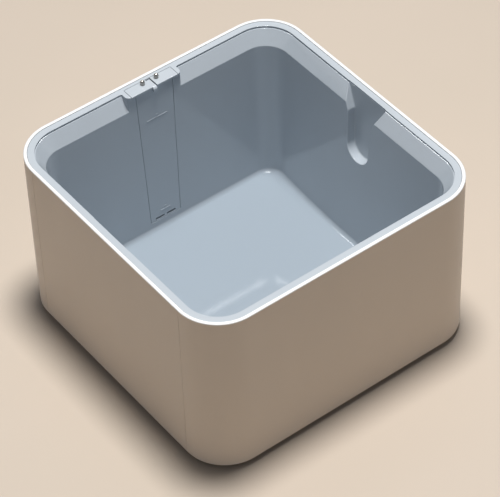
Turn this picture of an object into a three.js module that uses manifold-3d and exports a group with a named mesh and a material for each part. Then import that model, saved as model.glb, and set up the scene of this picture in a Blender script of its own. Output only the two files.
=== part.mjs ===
// Open rounded-square wash tank: a white outer shell on rubber feet, a blue-grey basin that drops
// into it, and a level probe that lifts out of the basin's back wall.
// Millimetres, +Z up. The origin is on the floor under the middle of the tank. The back wall, which
// holds the probe, faces +Y, and the two walls with shaft slots face +X and -X.
// An inset is measured inwards from the shell's outer face, and a drop downwards from the shell's rim.
import * as THREE from 'three';
import { mergeVertices } from 'three/addons/utils/BufferGeometryUtils.js';
import Module from 'manifold-3d';

const wasm = await Module();
wasm.setup();

// Outer shell
const TANK_WIDTH = 280;
const SHELL_HEIGHT = 167.5;
const SHELL_WALL = 2.8;
const SHELL_CORNER = 39.3;
const RIM_ROUNDING = 0.9;
const HEM_CHAMFER = 0.5;
const FLOOR_GAP = 6;

// Basin
const BASIN_GAP = 0.5;
const LEDGE_DROP = 0.5;
const LEDGE_WIDTH = 5.5;
const LEDGE_CORNER = 30.5;
const DROP_LINE_DEPTH = 2.3;
const DROP_LINE_LEAN = 0.7;
const BAND_WIDTH = 7.6;
const BAND_DEPTH = 13.3;
const BAND_FOOT_CORNER = 23.5;
const SIDE_WALL_LEAN = 9.2;
const BACK_WALL_LEAN = 4.5;
const SIDE_BOW = 4.7;
const BOW_END_INSET = 35;
const FLOOR_CORNER = 17;
const FLOOR_FILLET = 4;
const BASIN_WALL = 2.2;
const BASIN_FLOOR = 2.4;
const LIP_DEPTH = 6;
const LIP_WALL = 2;

// Shaft slots in the basin's two side walls
const SLOT_WIDTH = 27;
const SLOT_TAPER = 3.4;
const SLOT_FUNNEL_SPREAD = 17.6;
const SLOT_FUNNEL_DEPTH = 21;
const SLOT_CHANNEL_LENGTH = 33.2;
const SLOT_BACK_LEAN = 0.033;

// Tab and column that carry the probe on the basin's back wall
const TAB_END = 4.3;
const TAB_REACH = 9.5;
const TAB_CORNER = 4.6;
const TAB_ROOT_FILLET = 1.2;
const TAB_THICKNESS = 2.2;

// Level probe
const STRIP_TOP_WIDTH = 38.2;
const STRIP_TAPER = 6.8;
const STRIP_FOOT_HEIGHT = 9.4;
const STRIP_WALL = 1.6;
const PLATE_OVERHANG = 4.9;
const PLATE_SETBACK = 3.4;
const NOTCH_WIDTH = 4.8;
const FINGER_WIDTH = 3.6;
const FINGER_DROP = 0.8;
const FINGER_THICKNESS = 1.6;
const FINGER_BEND = 2.4;
const FINGER_REACH = 1.3;
const FINGER_HEIGHT = 5.1;
const FINGER_TAIL_GAP = 0.9;
const SENSE_SLOT_LENGTH = 9.4;
const SENSE_SLOT_OPENING = 1.9;
const SENSE_SLOT_SPACING = 11.9;
const SENSE_SLOT_HEIGHT = 2.2;

// Electrodes and contacts
const CONTACT_SPACING = 14.2;
const CONTACT_SETBACK = 3.3;
const CONTACT_DIAMETER = 4.2;
const CONTACT_POST = 2.4;
const CONTACT_DOME = 2;
const CONTACT_SHANK = 2.4;
const CONTACT_RECESS_DIAMETER = 6.6;
const CONTACT_RECESS = 0.4;
const ELECTRODE_WIDTH = 5;
const ELECTRODE_THICKNESS = 0.8;
const SEAL_DIAMETER = 4.8;
const SEAL_BORE = 2.9;
const SEAL_THICKNESS = 0.9;
const NUT_ACROSS_CORNERS = 5.3;
const NUT_THICKNESS = 1.6;
const CARRIER_THICKNESS = 3.5;
const GROOVE_DEPTH = 0.6;
const UPPER_SCREW_DROP = 30;
const LOWER_SCREW_HEIGHT = 33.6;
const PROBE_SCREW_SHANK = 2;
const PROBE_SCREW_HEAD = 4.2;
const PROBE_SCREW_HEAD_THICKNESS = 0.9;
const PROBE_BOSS = 4.4;

// Base plate, its screws and the feet
const BASE_THICKNESS = 2.5;
const BASE_RECESS = 0.4;
const BASE_SCREW_FROM_CORNER = 70;
const BASE_SCREW_SHANK = 3;
const BASE_SCREW_LENGTH = 12;
const BASE_SCREW_HEAD = 6;
const BASE_SCREW_HEAD_FLAT = 4.2;
const BASE_SCREW_HEAD_THICKNESS = 1.8;
const CROSS_LENGTH = 3.3;
const CROSS_WIDTH = 0.86;
const CROSS_DEPTH = 1.1;
const BOSS_DIAMETER = 8;
const BOSS_WEB = 4;
const BOSS_HEIGHT = 18;
const BOSS_INSET = 9;
const RIB_THICKNESS = 2;
const FOOT_DIAMETER = 22;
const FOOT_ROUNDING = 1.5;
const FOOT_INSET = 35;
const FOOT_STEM = 5.6;
const FOOT_BARB = 6.8;
const FOOT_BARB_HEIGHT = 0.6;

// Clearances and how finely curves are cut
const SEAT_GAP = 0.3;
const HOLE_CLEARANCE = 0.6;
const CHANNEL_CLEARANCE = 0.5;
const BASE_CLEARANCE = 1.2;
const OVERSHOOT = 5;
const CORNER_STEPS = 10;
const SIDE_STEPS = 8;
const SLOT_FOOT_STEPS = 12;
const FILLET_STEPS = 4;
const BEND_STEPS = 5;
const DOME_STEPS = 4;
const SEAL_STEPS = 8;
const ROUND_STEPS = 24;
const SMALL_ROUND_STEPS = 16;

// Places that follow from the sizes above
const HALF = TANK_WIDTH / 2;
const RIM_Z = FLOOR_GAP + SHELL_HEIGHT;
const BASE_UNDERSIDE_Z = FLOOR_GAP + BASE_RECESS;
const BASE_TOP_Z = BASE_UNDERSIDE_Z + BASE_THICKNESS;
const LIP_INSET = SHELL_WALL + BASIN_GAP;
const LEDGE_INSET = LIP_INSET + LEDGE_WIDTH;
const BAND_TOP_INSET = LEDGE_INSET + DROP_LINE_LEAN;
const BAND_TOP_DROP = LEDGE_DROP + DROP_LINE_DEPTH;
const BAND_FOOT_INSET = BAND_TOP_INSET + BAND_WIDTH;
const BAND_FOOT_DROP = BAND_TOP_DROP + BAND_DEPTH;
const FLOOR_DROP = RIM_Z - BASE_TOP_Z - BASE_CLEARANCE - BASIN_FLOOR;
const SIDE_FLOOR_INSET = BAND_FOOT_INSET + SIDE_WALL_LEAN;
const SIDE_END_INSET = SIDE_FLOOR_INSET - SIDE_BOW;
const BACK_FLOOR_INSET = BAND_FOOT_INSET + BACK_WALL_LEAN;
const BACK_SLOPE = BACK_WALL_LEAN / (FLOOR_DROP - BAND_FOOT_DROP);
const LIP_FOOT_DROP = LEDGE_DROP + LIP_DEPTH;
const SLOT_TOP_WIDTH = SLOT_WIDTH + SLOT_TAPER;
const SLOT_MOUTH_WIDTH = SLOT_TOP_WIDTH + SLOT_FUNNEL_SPREAD;
const SLOT_CENTRE_DROP = BAND_TOP_DROP + SLOT_FUNNEL_DEPTH + SLOT_CHANNEL_LENGTH;
const PLATE_WIDTH = STRIP_TOP_WIDTH + 2 * PLATE_OVERHANG;
const PLATE_BACK_INSET = LIP_INSET + PLATE_SETBACK;
const PLATE_UNDERSIDE_DROP = LEDGE_DROP + TAB_THICKNESS;
const TAB_WIDTH = PLATE_WIDTH + 2 * TAB_END;
const TAB_FRONT_INSET = LEDGE_INSET + TAB_REACH;
const STRIP_FOOT_WIDTH = STRIP_TOP_WIDTH - STRIP_TAPER;
const STRIP_FOOT_DROP = FLOOR_DROP - STRIP_FOOT_HEIGHT;
const SENSE_SLOT_DROP = STRIP_FOOT_DROP - SENSE_SLOT_HEIGHT;
const FINGER_TOP_DROP = LEDGE_DROP + FINGER_DROP;
const FINGER_FOOT_DROP = FINGER_TOP_DROP + FINGER_HEIGHT;
const CONTACT_INSET = PLATE_BACK_INSET + CONTACT_SETBACK;
const CONTACT_Y = HALF - CONTACT_INSET;
const ELECTRODE_BACK = STRIP_WALL + 2 * SEAT_GAP + ELECTRODE_THICKNESS;
const ELECTRODE_LEG_DROP = PLATE_UNDERSIDE_DROP + SEAT_GAP;
const CARRIER_FRONT = ELECTRODE_BACK + SEAT_GAP - GROOVE_DEPTH;
const CARRIER_BACK = CARRIER_FRONT + CARRIER_THICKNESS;
const CHANNEL_DEPTH = CARRIER_BACK + CHANNEL_CLEARANCE;
const NUT_DROP = ELECTRODE_LEG_DROP + ELECTRODE_THICKNESS + SEAT_GAP;
const CARRIER_TOP_DROP = NUT_DROP + NUT_THICKNESS + HOLE_CLEARANCE + SEAT_GAP;
const PROBE_SCREW_DROPS = [LEDGE_DROP + UPPER_SCREW_DROP, STRIP_FOOT_DROP - LOWER_SCREW_HEIGHT];
const PROBE_BOSS_DEPTH = CARRIER_FRONT + CARRIER_THICKNESS / 2 - SEAT_GAP;
const PROBE_HEAD_SEAT = CARRIER_BACK - PROBE_SCREW_HEAD_THICKNESS - SEAT_GAP;
const FOOT_POSITION = HALF - FOOT_INSET;
const BASE_SCREW_OFFSET = HALF - BASE_SCREW_FROM_CORNER;

const zAtDrop = (drop) => RIM_Z - drop;

// The two contacts, electrodes and sense slots lie on either side: sign is -1 on the left.
const contactX = (sign) => (sign * CONTACT_SPACING) / 2;

// The back wall's face, as an inset at a drop: the column and the probe's strip both lie in it.
const backFaceInset = (drop) => BAND_FOOT_INSET + BACK_SLOPE * (drop - BAND_FOOT_DROP);

// A point on or behind the back wall, from its place along the wall, its drop and its inset.
const onBackWall = (x, drop, inset) => new THREE.Vector3(x, HALF - inset, zAtDrop(drop));

// A profile of [inset, drop] laid out at one place along the back wall.
const profileAt = (x) => (inset, drop) => onBackWall(x, drop, inset);

// A point on or behind a side wall: side is 1 for the +X wall and -1 for the -X wall.
const onSideWall = (side) => (y, drop, inset) => new THREE.Vector3(side * (HALF - inset), y, zAtDrop(drop));

function geometryFrom(points, triangles) {
  const geometry = new THREE.BufferGeometry().setFromPoints(points);
  geometry.setIndex(triangles.flat());
  return geometry;
}

// A closed geometry becomes a solid once its shared corners are merged.
function solid(source) {
  const geometry = source.clone();
  geometry.deleteAttribute('normal');
  geometry.deleteAttribute('uv');
  const merged = mergeVertices(geometry, 1e-4);
  const vertProperties = new Float32Array(merged.attributes.position.array);
  const triVerts = new Uint32Array(merged.index.array);
  const body = new wasm.Manifold(new wasm.Mesh({ numProp: 3, vertProperties, triVerts }));
  if (body.volume() > 0) return body;
  const flipped = triVerts.slice();
  for (let i = 0; i < flipped.length; i += 3) {
    flipped[i + 1] = triVerts[i + 2];
    flipped[i + 2] = triVerts[i + 1];
  }
  return new wasm.Manifold(new wasm.Mesh({ numProp: 3, vertProperties, triVerts: flipped }));
}

function geometryOf(body) {
  const mesh = body.getMesh();
  const positions = new Float32Array(mesh.numVert * 3);
  for (let i = 0; i < mesh.numVert; i += 1) {
    for (let k = 0; k < 3; k += 1) positions[i * 3 + k] = mesh.vertProperties[i * mesh.numProp + k];
  }
  const geometry = new THREE.BufferGeometry();
  geometry.setAttribute('position', new THREE.BufferAttribute(positions, 3));
  geometry.setIndex(new THREE.BufferAttribute(new Uint32Array(mesh.triVerts), 1));
  geometry.computeVertexNormals();
  return geometry;
}

// One level outline of the tank: a rounded rectangle with its own inset at the sides and at the back.
// Its two sides may bow inwards towards their middle, along a parabola that ends near the corners.
function ring({ side, back = side, z, corner, bow = 0 }) {
  const points = [];
  const halfX = HALF - side;
  const halfY = HALF - back;
  const corners = [[1, 1], [-1, 1], [-1, -1], [1, -1]];
  corners.forEach(([signX, signY], quarter) => {
    for (let i = 0; i <= CORNER_STEPS; i += 1) {
      const angle = (quarter + i / CORNER_STEPS) * (Math.PI / 2);
      const x = signX * (halfX - corner) + corner * Math.cos(angle);
      const y = signY * (halfY - corner) + corner * Math.sin(angle);
      points.push(new THREE.Vector3(x, y, z));
    }
    const runsAlongSide = quarter % 2 === 1;
    const steps = runsAlongSide ? SIDE_STEPS : 1;
    for (let i = 1; i < steps; i += 1) {
      const y = signY * (halfY - corner) * (1 - (2 * i) / steps);
      points.push(new THREE.Vector3(signX * halfX, y, z));
    }
  });
  const bowEnd = HALF - BOW_END_INSET;
  for (const point of points) {
    const share = Math.max(0, 1 - (point.y / bowEnd) ** 2);
    point.x -= Math.sign(point.x) * bow * share;
  }
  return points;
}

// A solid skinned over a stack of level outlines, listed from the lowest cap to the upper cap.
function loft(rings) {
  const outlines = rings.map(ring);
  const count = outlines[0].length;
  const points = outlines.flat();
  const triangles = [];
  for (let level = 0; level + 1 < outlines.length; level += 1) {
    for (let i = 0; i < count; i += 1) {
      const a = level * count + i;
      const b = level * count + ((i + 1) % count);
      triangles.push([a, b, b + count], [a, b + count, a + count]);
    }
  }
  const addCap = (start, z, faceUp) => {
    const centre = points.push(new THREE.Vector3(0, 0, z)) - 1;
    for (let i = 0; i < count; i += 1) {
      const next = start + ((i + 1) % count);
      triangles.push(faceUp ? [centre, start + i, next] : [centre, next, start + i]);
    }
  };
  addCap(0, rings[0].z, false);
  addCap((outlines.length - 1) * count, rings.at(-1).z, true);
  return solid(geometryFrom(points, triangles));
}

// A prism whose two ends are the same outline, each laid out in space by its own function.
function prismBetween(outline, nearEnd, farEnd) {
  const flat = outline.map(([u, v]) => new THREE.Vector2(u, v));
  const count = flat.length;
  const points = [...flat.map((p) => nearEnd(p.x, p.y)), ...flat.map((p) => farEnd(p.x, p.y))];
  const triangles = [];
  for (const [a, b, c] of THREE.ShapeUtils.triangulateShape(flat, [])) {
    triangles.push([a, b, c], [a + count, c + count, b + count]);
  }
  const clockwise = THREE.ShapeUtils.isClockWise(flat);
  for (let i = 0; i < count; i += 1) {
    const j = (i + 1) % count;
    const side = [[i, i + count, j + count], [i, j + count, j]];
    side.forEach((t) => triangles.push(clockwise ? t.toReversed() : t));
  }
  return solid(geometryFrom(points, triangles));
}

const uprightRectangle = (left, right, topDrop, footDrop) => [
  [left, topDrop],
  [right, topDrop],
  [right, footDrop],
  [left, footDrop],
];

// A block on the back wall between two places along it, two drops and two insets.
function backBlock(halfWidth, topDrop, footDrop, nearInset, farInset) {
  const outline = uprightRectangle(-halfWidth, halfWidth, topDrop, footDrop);
  const place = (inset) => (x, drop) => onBackWall(x, drop, inset);
  return prismBetween(outline, place(nearInset), place(farInset));
}

// A piece that follows the back wall's lean: depths are measured from the wall's face into the wall.
function leaningPrism(outline, nearDepth, farDepth) {
  const place = (depth) => (x, drop) => onBackWall(x, drop, backFaceInset(drop) - depth);
  return prismBetween(outline, place(nearDepth), place(farDepth));
}

// The strip's tapered outline, grown or shrunk at its sides and foot by an offset.
function stripOutline(topDrop, offset) {
  const slope = (STRIP_TOP_WIDTH - STRIP_FOOT_WIDTH) / 2 / (STRIP_FOOT_DROP - LEDGE_DROP);
  const footDrop = STRIP_FOOT_DROP + offset;
  const halfAt = (drop) => STRIP_TOP_WIDTH / 2 - slope * (drop - LEDGE_DROP) + offset;
  const top = halfAt(topDrop);
  const foot = halfAt(footDrop);
  return [[-top, topDrop], [top, topDrop], [foot, footDrop], [-foot, footDrop]];
}

// An upright round bar between two heights.
function uprightCylinder(diameter, lowZ, highZ, x, y, steps = SMALL_ROUND_STEPS) {
  const geometry = new THREE.CylinderGeometry(diameter / 2, diameter / 2, highZ - lowZ, steps);
  geometry.rotateX(Math.PI / 2);
  geometry.translate(x, y, (lowZ + highZ) / 2);
  return solid(geometry);
}

// A turned shape about an upright axis: the profile is a list of [radius, height].
function turned(profile, x, y, z, steps = ROUND_STEPS) {
  const geometry = new THREE.LatheGeometry(profile.map(([r, h]) => new THREE.Vector2(r, h)), steps);
  geometry.rotateX(Math.PI / 2);
  geometry.translate(x, y, z);
  return solid(geometry);
}

function box(lowX, highX, lowY, highY, lowZ, highZ) {
  const geometry = new THREE.BoxGeometry(highX - lowX, highY - lowY, highZ - lowZ);
  geometry.translate((lowX + highX) / 2, (lowY + highY) / 2, (lowZ + highZ) / 2);
  return solid(geometry);
}

// Points on an arc about a centre, from one angle to another in degrees.
function arc(centreU, centreV, radius, startDegrees, endDegrees, steps) {
  return Array.from({ length: steps + 1 }, (_, i) => {
    const angle = THREE.MathUtils.degToRad(startDegrees + ((endDegrees - startDegrees) * i) / steps);
    return [centreU + radius * Math.cos(angle), centreV + radius * Math.sin(angle)];
  });
}

// Places where a screw passes through the base plate into a boss, two on each side of the tank.
const baseScrewPlaces = [-1, 1].flatMap((sign) => [-1, 1].flatMap((end) => [
  [end * BASE_SCREW_OFFSET, sign * (HALF - BOSS_INSET)],
  [sign * (HALF - BOSS_INSET), end * BASE_SCREW_OFFSET],
]));

// Places of the feet: front left, front right, rear left, rear right.
const footPlaces = [-1, 1].flatMap((rear) => [-1, 1].map((right) => [
  right * FOOT_POSITION,
  rear * FOOT_POSITION,
]));

function makeShell() {
  const roundedRim = arc(0, 0, RIM_ROUNDING, 0, 90, 2).map(([u, v]) => ({
    side: RIM_ROUNDING - u,
    z: RIM_Z - RIM_ROUNDING + v,
    corner: SHELL_CORNER - RIM_ROUNDING + u,
  }));
  const outer = loft([
    { side: HEM_CHAMFER, z: FLOOR_GAP, corner: SHELL_CORNER - HEM_CHAMFER },
    { side: 0, z: FLOOR_GAP + HEM_CHAMFER, corner: SHELL_CORNER },
    ...roundedRim,
  ]);
  const inside = { side: SHELL_WALL, corner: SHELL_CORNER - SHELL_WALL };
  let shell = outer.subtract(loft([
    { ...inside, z: FLOOR_GAP - OVERSHOOT },
    { ...inside, z: RIM_Z + OVERSHOOT },
  ]));
  for (const [x, y] of baseScrewPlaces) shell = shell.add(screwBoss(x, y));
  for (const [x, y] of baseScrewPlaces) shell = shell.subtract(screwBossHole(x, y));
  return shell;
}

// A boss for one base screw, tied to its wall by a web. The rib above it carries the basin's lip.
function screwBoss(x, y) {
  const lowZ = BASE_TOP_Z + SEAT_GAP;
  const highZ = lowZ + BOSS_HEIGHT;
  const ribTopZ = zAtDrop(LIP_FOOT_DROP + SEAT_GAP);
  const web = wallBlock(x, y, BOSS_WEB, BOSS_INSET, lowZ, highZ);
  const rib = wallBlock(x, y, RIB_THICKNESS, LIP_INSET + LIP_WALL + SEAT_GAP, lowZ, ribTopZ);
  return uprightCylinder(BOSS_DIAMETER, lowZ, highZ, x, y).add(web).add(rib);
}

// An upright block from inside the nearest wall inwards to an inset.
function wallBlock(x, y, width, inset, lowZ, highZ) {
  const half = width / 2;
  const ends = [HALF - inset, HALF - SHELL_WALL / 2];
  const between = (value) => (value > 0 ? ends : ends.map((end) => -end).reverse());
  if (Math.abs(y) > Math.abs(x)) return box(x - half, x + half, ...between(y), lowZ, highZ);
  return box(...between(x), y - half, y + half, lowZ, highZ);
}

function screwBossHole(x, y) {
  const depth = BASE_SCREW_LENGTH - BASE_THICKNESS + HOLE_CLEARANCE;
  const diameter = BASE_SCREW_SHANK + HOLE_CLEARANCE;
  return uprightCylinder(diameter, BASE_TOP_Z, BASE_TOP_Z + SEAT_GAP + depth, x, y);
}

// The outside of the basin, filled: the leaning walls, the band and the lip that turns down.
function basinOutside() {
  const bandLength = Math.hypot(BAND_WIDTH, BAND_DEPTH);
  const outwards = (BASIN_WALL * BAND_DEPTH) / bandLength;
  const downwards = (BASIN_WALL * BAND_WIDTH) / bandLength;
  const foot = FLOOR_FILLET;
  const lipInner = LIP_INSET + LIP_WALL;
  const lipCorner = SHELL_CORNER - LIP_INSET;
  const ledgeUnderside = zAtDrop(LEDGE_DROP + BASIN_WALL);
  return loft([
    {
      side: SIDE_END_INSET + foot - BASIN_WALL,
      back: BACK_FLOOR_INSET + foot - BASIN_WALL,
      z: zAtDrop(FLOOR_DROP + BASIN_FLOOR),
      corner: FLOOR_CORNER - foot + BASIN_WALL,
      bow: SIDE_BOW,
    },
    {
      side: SIDE_END_INSET - BASIN_WALL,
      back: BACK_FLOOR_INSET - BASIN_WALL,
      z: zAtDrop(FLOOR_DROP + BASIN_FLOOR - foot),
      corner: FLOOR_CORNER + BASIN_WALL,
      bow: SIDE_BOW,
    },
    {
      side: BAND_FOOT_INSET - outwards,
      z: zAtDrop(BAND_FOOT_DROP + downwards),
      corner: BAND_FOOT_CORNER + outwards,
    },
    {
      side: BAND_TOP_INSET - outwards,
      z: zAtDrop(BAND_TOP_DROP + downwards),
      corner: LEDGE_CORNER + outwards,
    },
    { side: BAND_TOP_INSET - BASIN_WALL, z: ledgeUnderside, corner: LEDGE_CORNER + BASIN_WALL },
    { side: lipInner, z: ledgeUnderside, corner: SHELL_CORNER - lipInner },
    { side: lipInner, z: zAtDrop(LIP_FOOT_DROP), corner: SHELL_CORNER - lipInner },
    { side: LIP_INSET, z: zAtDrop(LIP_FOOT_DROP), corner: lipCorner },
    { side: LIP_INSET, z: zAtDrop(LEDGE_DROP), corner: lipCorner },
  ]);
}

// The space inside the basin, from its floor up through the ledge.
function basinInside() {
  const fillet = arc(0, 0, FLOOR_FILLET, -90, 0, FILLET_STEPS).map(([u, v]) => ({
    side: SIDE_END_INSET + FLOOR_FILLET - u,
    back: BACK_FLOOR_INSET + FLOOR_FILLET - u,
    z: zAtDrop(FLOOR_DROP - FLOOR_FILLET - v),
    corner: FLOOR_CORNER - FLOOR_FILLET + u,
    bow: SIDE_BOW,
  }));
  return loft([
    ...fillet,
    { side: BAND_FOOT_INSET, z: zAtDrop(BAND_FOOT_DROP), corner: BAND_FOOT_CORNER },
    { side: BAND_TOP_INSET, z: zAtDrop(BAND_TOP_DROP), corner: LEDGE_CORNER },
    { side: LEDGE_INSET, z: zAtDrop(LEDGE_DROP), corner: LEDGE_CORNER },
    { side: LEDGE_INSET, z: RIM_Z + OVERSHOOT, corner: LEDGE_CORNER },
  ]);
}

// A shaft slot's outline: a funnel, a tapered channel and a round foot, grown by an offset.
function slotOutline(offset, topDrop) {
  const funnelDrop = BAND_TOP_DROP + SLOT_FUNNEL_DEPTH;
  const foot = arc(0, SLOT_CENTRE_DROP, SLOT_WIDTH / 2 + offset, 0, 180, SLOT_FOOT_STEPS);
  const mouth = SLOT_MOUTH_WIDTH / 2 + offset;
  const throat = SLOT_TOP_WIDTH / 2 + offset;
  return [
    [-throat, funnelDrop + offset / 2],
    [-mouth, BAND_TOP_DROP + offset / 2],
    [-mouth, topDrop],
    [mouth, topDrop],
    [mouth, BAND_TOP_DROP + offset / 2],
    [throat, funnelDrop + offset / 2],
    ...foot,
  ];
}

// A block with a shaft slot's outline, from the basin's inside back to the slot's own back face.
function slotBlock(side, offset, topDrop) {
  const place = onSideWall(side);
  const backFace = (drop) => BAND_TOP_INSET + SLOT_BACK_LEAN * (drop - BAND_TOP_DROP) - offset;
  return prismBetween(
    slotOutline(offset, topDrop),
    (y, drop) => place(y, drop, SIDE_FLOOR_INSET + OVERSHOOT),
    (y, drop) => place(y, drop, backFace(drop)),
  );
}

// The tab is the ledge widened inwards over the probe. Its front corners are round, and a small
// fillet leads into it from the ledge at each end.
function tabOutline() {
  const half = TAB_WIDTH / 2;
  const centre = TAB_FRONT_INSET - TAB_CORNER;
  const rootX = half + TAB_ROOT_FILLET;
  const rootInset = LEDGE_INSET + TAB_ROOT_FILLET;
  return [
    [-rootX, LEDGE_INSET - DROP_LINE_LEAN],
    ...arc(-rootX, rootInset, TAB_ROOT_FILLET, -90, 0, FILLET_STEPS),
    ...arc(-half + TAB_CORNER, centre, TAB_CORNER, 180, 90, BEND_STEPS),
    ...arc(half - TAB_CORNER, centre, TAB_CORNER, 90, 0, BEND_STEPS),
    ...arc(rootX, rootInset, TAB_ROOT_FILLET, 180, 270, FILLET_STEPS),
    [rootX, LEDGE_INSET - DROP_LINE_LEAN],
  ];
}

function levelPrism(outline, topDrop, footDrop) {
  const place = (drop) => (x, inset) => onBackWall(x, drop, inset);
  return prismBetween(outline, place(topDrop), place(footDrop));
}

// The column fills the band under the tab. It has the tab's outline, cut off at the wall's face.
function column() {
  const footDrop = BAND_FOOT_DROP + BASIN_WALL;
  const filled = levelPrism(tabOutline(), LEDGE_DROP + TAB_THICKNESS / 2, footDrop);
  const inFront = uprightRectangle(-TAB_WIDTH, TAB_WIDTH, -OVERSHOOT, footDrop + OVERSHOOT);
  return filled.subtract(leaningPrism(inFront, -TAB_REACH, 0)).subtract(basinUnderBand());
}

// The room under the band's outer face, kept open behind the column.
function basinUnderBand() {
  const lean = BAND_WIDTH / BAND_DEPTH;
  const topDrop = BAND_TOP_DROP + BASIN_WALL;
  const footDrop = BAND_FOOT_DROP + 2 * BASIN_WALL;
  const backInset = BAND_TOP_INSET - 2 * BASIN_WALL;
  const outline = [
    [backInset, topDrop],
    [BAND_TOP_INSET - BASIN_WALL, topDrop],
    [BAND_TOP_INSET - BASIN_WALL + lean * (footDrop - topDrop), footDrop],
    [backInset, footDrop],
  ];
  return prismBetween(outline, profileAt(-TAB_WIDTH), profileAt(TAB_WIDTH));
}

// The channel that the probe's strip slides in, or the wall around it when it is grown.
function channelBlock(topDrop, offset) {
  return leaningPrism(stripOutline(topDrop, SEAT_GAP + offset), -OVERSHOOT, CHANNEL_DEPTH + offset);
}

// The pocket under the tab for the contacts' nuts, or the wall around it when it is grown.
function nutPocket(offset) {
  const half = (CONTACT_SPACING + NUT_ACROSS_CORNERS) / 2 + HOLE_CLEARANCE + offset;
  const backInset = CONTACT_INSET - NUT_ACROSS_CORNERS / 2 - SEAT_GAP - offset;
  const footDrop = CARRIER_TOP_DROP + offset;
  return backBlock(half, LEDGE_DROP, footDrop, backInset, backFaceInset(BAND_TOP_DROP));
}

function platePocket() {
  const half = PLATE_WIDTH / 2 + SEAT_GAP;
  const floorDrop = PLATE_UNDERSIDE_DROP + SEAT_GAP;
  const backInset = PLATE_BACK_INSET - SEAT_GAP;
  return backBlock(half, -OVERSHOOT, floorDrop, backInset, TAB_FRONT_INSET + OVERSHOOT);
}

function makeBasin() {
  let walls = basinOutside();
  for (const side of [-1, 1]) walls = walls.add(slotBlock(side, BASIN_WALL, LEDGE_DROP + BASIN_WALL));
  walls = walls.add(channelBlock(LEDGE_DROP, BASIN_WALL)).add(nutPocket(BASIN_WALL));
  let basin = walls.subtract(basinInside());
  basin = basin.add(column()).add(levelPrism(tabOutline(), LEDGE_DROP, PLATE_UNDERSIDE_DROP));
  for (const side of [-1, 1]) basin = basin.subtract(slotBlock(side, 0, -OVERSHOOT));
  return basin.subtract(platePocket()).subtract(channelBlock(LEDGE_DROP, 0)).subtract(nutPocket(0));
}

// The finger is a tongue in the plate's notch that bends over the front edge and ends on the strip.
function latchFinger() {
  const top = FINGER_TOP_DROP;
  const underside = top + FINGER_THICKNESS;
  const tail = PLATE_BACK_INSET + FINGER_TAIL_GAP;
  const front = TAB_FRONT_INSET + FINGER_REACH;
  const stripFace = backFaceInset(FINGER_FOOT_DROP);
  const outline = [
    [tail, top],
    ...arc(front - FINGER_BEND, top + FINGER_BEND, FINGER_BEND, -90, 0, BEND_STEPS),
    [front, FINGER_FOOT_DROP - FINGER_THICKNESS / 2],
    [stripFace, FINGER_FOOT_DROP],
    [stripFace - STRIP_WALL, FINGER_FOOT_DROP],
    [stripFace - STRIP_WALL, underside],
    [tail, underside],
  ];
  return prismBetween(outline, profileAt(-FINGER_WIDTH / 2), profileAt(FINGER_WIDTH / 2));
}

function probeScrewBar(drop, diameter, nearDepth, farDepth, steps = SMALL_ROUND_STEPS) {
  const outline = arc(0, drop, diameter / 2, 0, 360 - 360 / steps, steps - 1);
  return leaningPrism(outline, nearDepth, farDepth);
}

function makeProbeCover() {
  const half = PLATE_WIDTH / 2;
  const plate = backBlock(half, LEDGE_DROP, PLATE_UNDERSIDE_DROP, PLATE_BACK_INSET, TAB_FRONT_INSET);
  const strip = leaningPrism(stripOutline(LEDGE_DROP + TAB_THICKNESS / 2, 0), 0, CARRIER_BACK);
  const hollowOutline = stripOutline(PLATE_UNDERSIDE_DROP, -STRIP_WALL);
  const hollow = leaningPrism(hollowOutline, STRIP_WALL, CARRIER_BACK + OVERSHOOT);
  let cover = plate.add(strip.subtract(hollow));
  cover = cover.subtract(backBlock(
    NOTCH_WIDTH / 2,
    -OVERSHOOT,
    PLATE_UNDERSIDE_DROP,
    PLATE_BACK_INSET + SEAT_GAP,
    TAB_FRONT_INSET + OVERSHOOT,
  ));
  cover = cover.add(latchFinger());
  for (const drop of PROBE_SCREW_DROPS) {
    cover = cover.add(probeScrewBar(drop, PROBE_BOSS, STRIP_WALL / 2, PROBE_BOSS_DEPTH));
    cover = cover.subtract(probeScrewBar(
      drop,
      PROBE_SCREW_SHANK + HOLE_CLEARANCE,
      STRIP_WALL + SEAT_GAP,
      PROBE_BOSS_DEPTH + OVERSHOOT,
    ));
  }
  for (const sign of [-1, 1]) {
    cover = cover.subtract(senseSlot(sign));
    cover = cover.subtract(contactCuts(sign));
  }
  return cover;
}

// One of the two slots near the strip's foot that let liquid reach an electrode.
function senseSlot(sign) {
  const middle = (sign * SENSE_SLOT_SPACING) / 2;
  const half = SENSE_SLOT_LENGTH / 2;
  const topDrop = SENSE_SLOT_DROP - SENSE_SLOT_OPENING / 2;
  const footDrop = SENSE_SLOT_DROP + SENSE_SLOT_OPENING / 2;
  const outline = uprightRectangle(middle - half, middle + half, topDrop, footDrop);
  return leaningPrism(outline, -OVERSHOOT, STRIP_WALL + SEAT_GAP);
}

// The recess, hole and seal seat that one contact needs in the cover's plate.
function contactCuts(sign) {
  const bore = (diameter, lowZ, highZ) => uprightCylinder(diameter, lowZ, highZ, contactX(sign), CONTACT_Y);
  const top = zAtDrop(LEDGE_DROP);
  const underside = zAtDrop(PLATE_UNDERSIDE_DROP);
  const recess = bore(CONTACT_RECESS_DIAMETER, top - CONTACT_RECESS, top + OVERSHOOT);
  const hole = bore(CONTACT_SHANK + HOLE_CLEARANCE, underside - OVERSHOOT, top + OVERSHOOT);
  const seat = bore(SEAL_DIAMETER + HOLE_CLEARANCE, underside - OVERSHOOT, underside + SEAL_THICKNESS);
  return recess.add(hole).add(seat);
}

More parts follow.
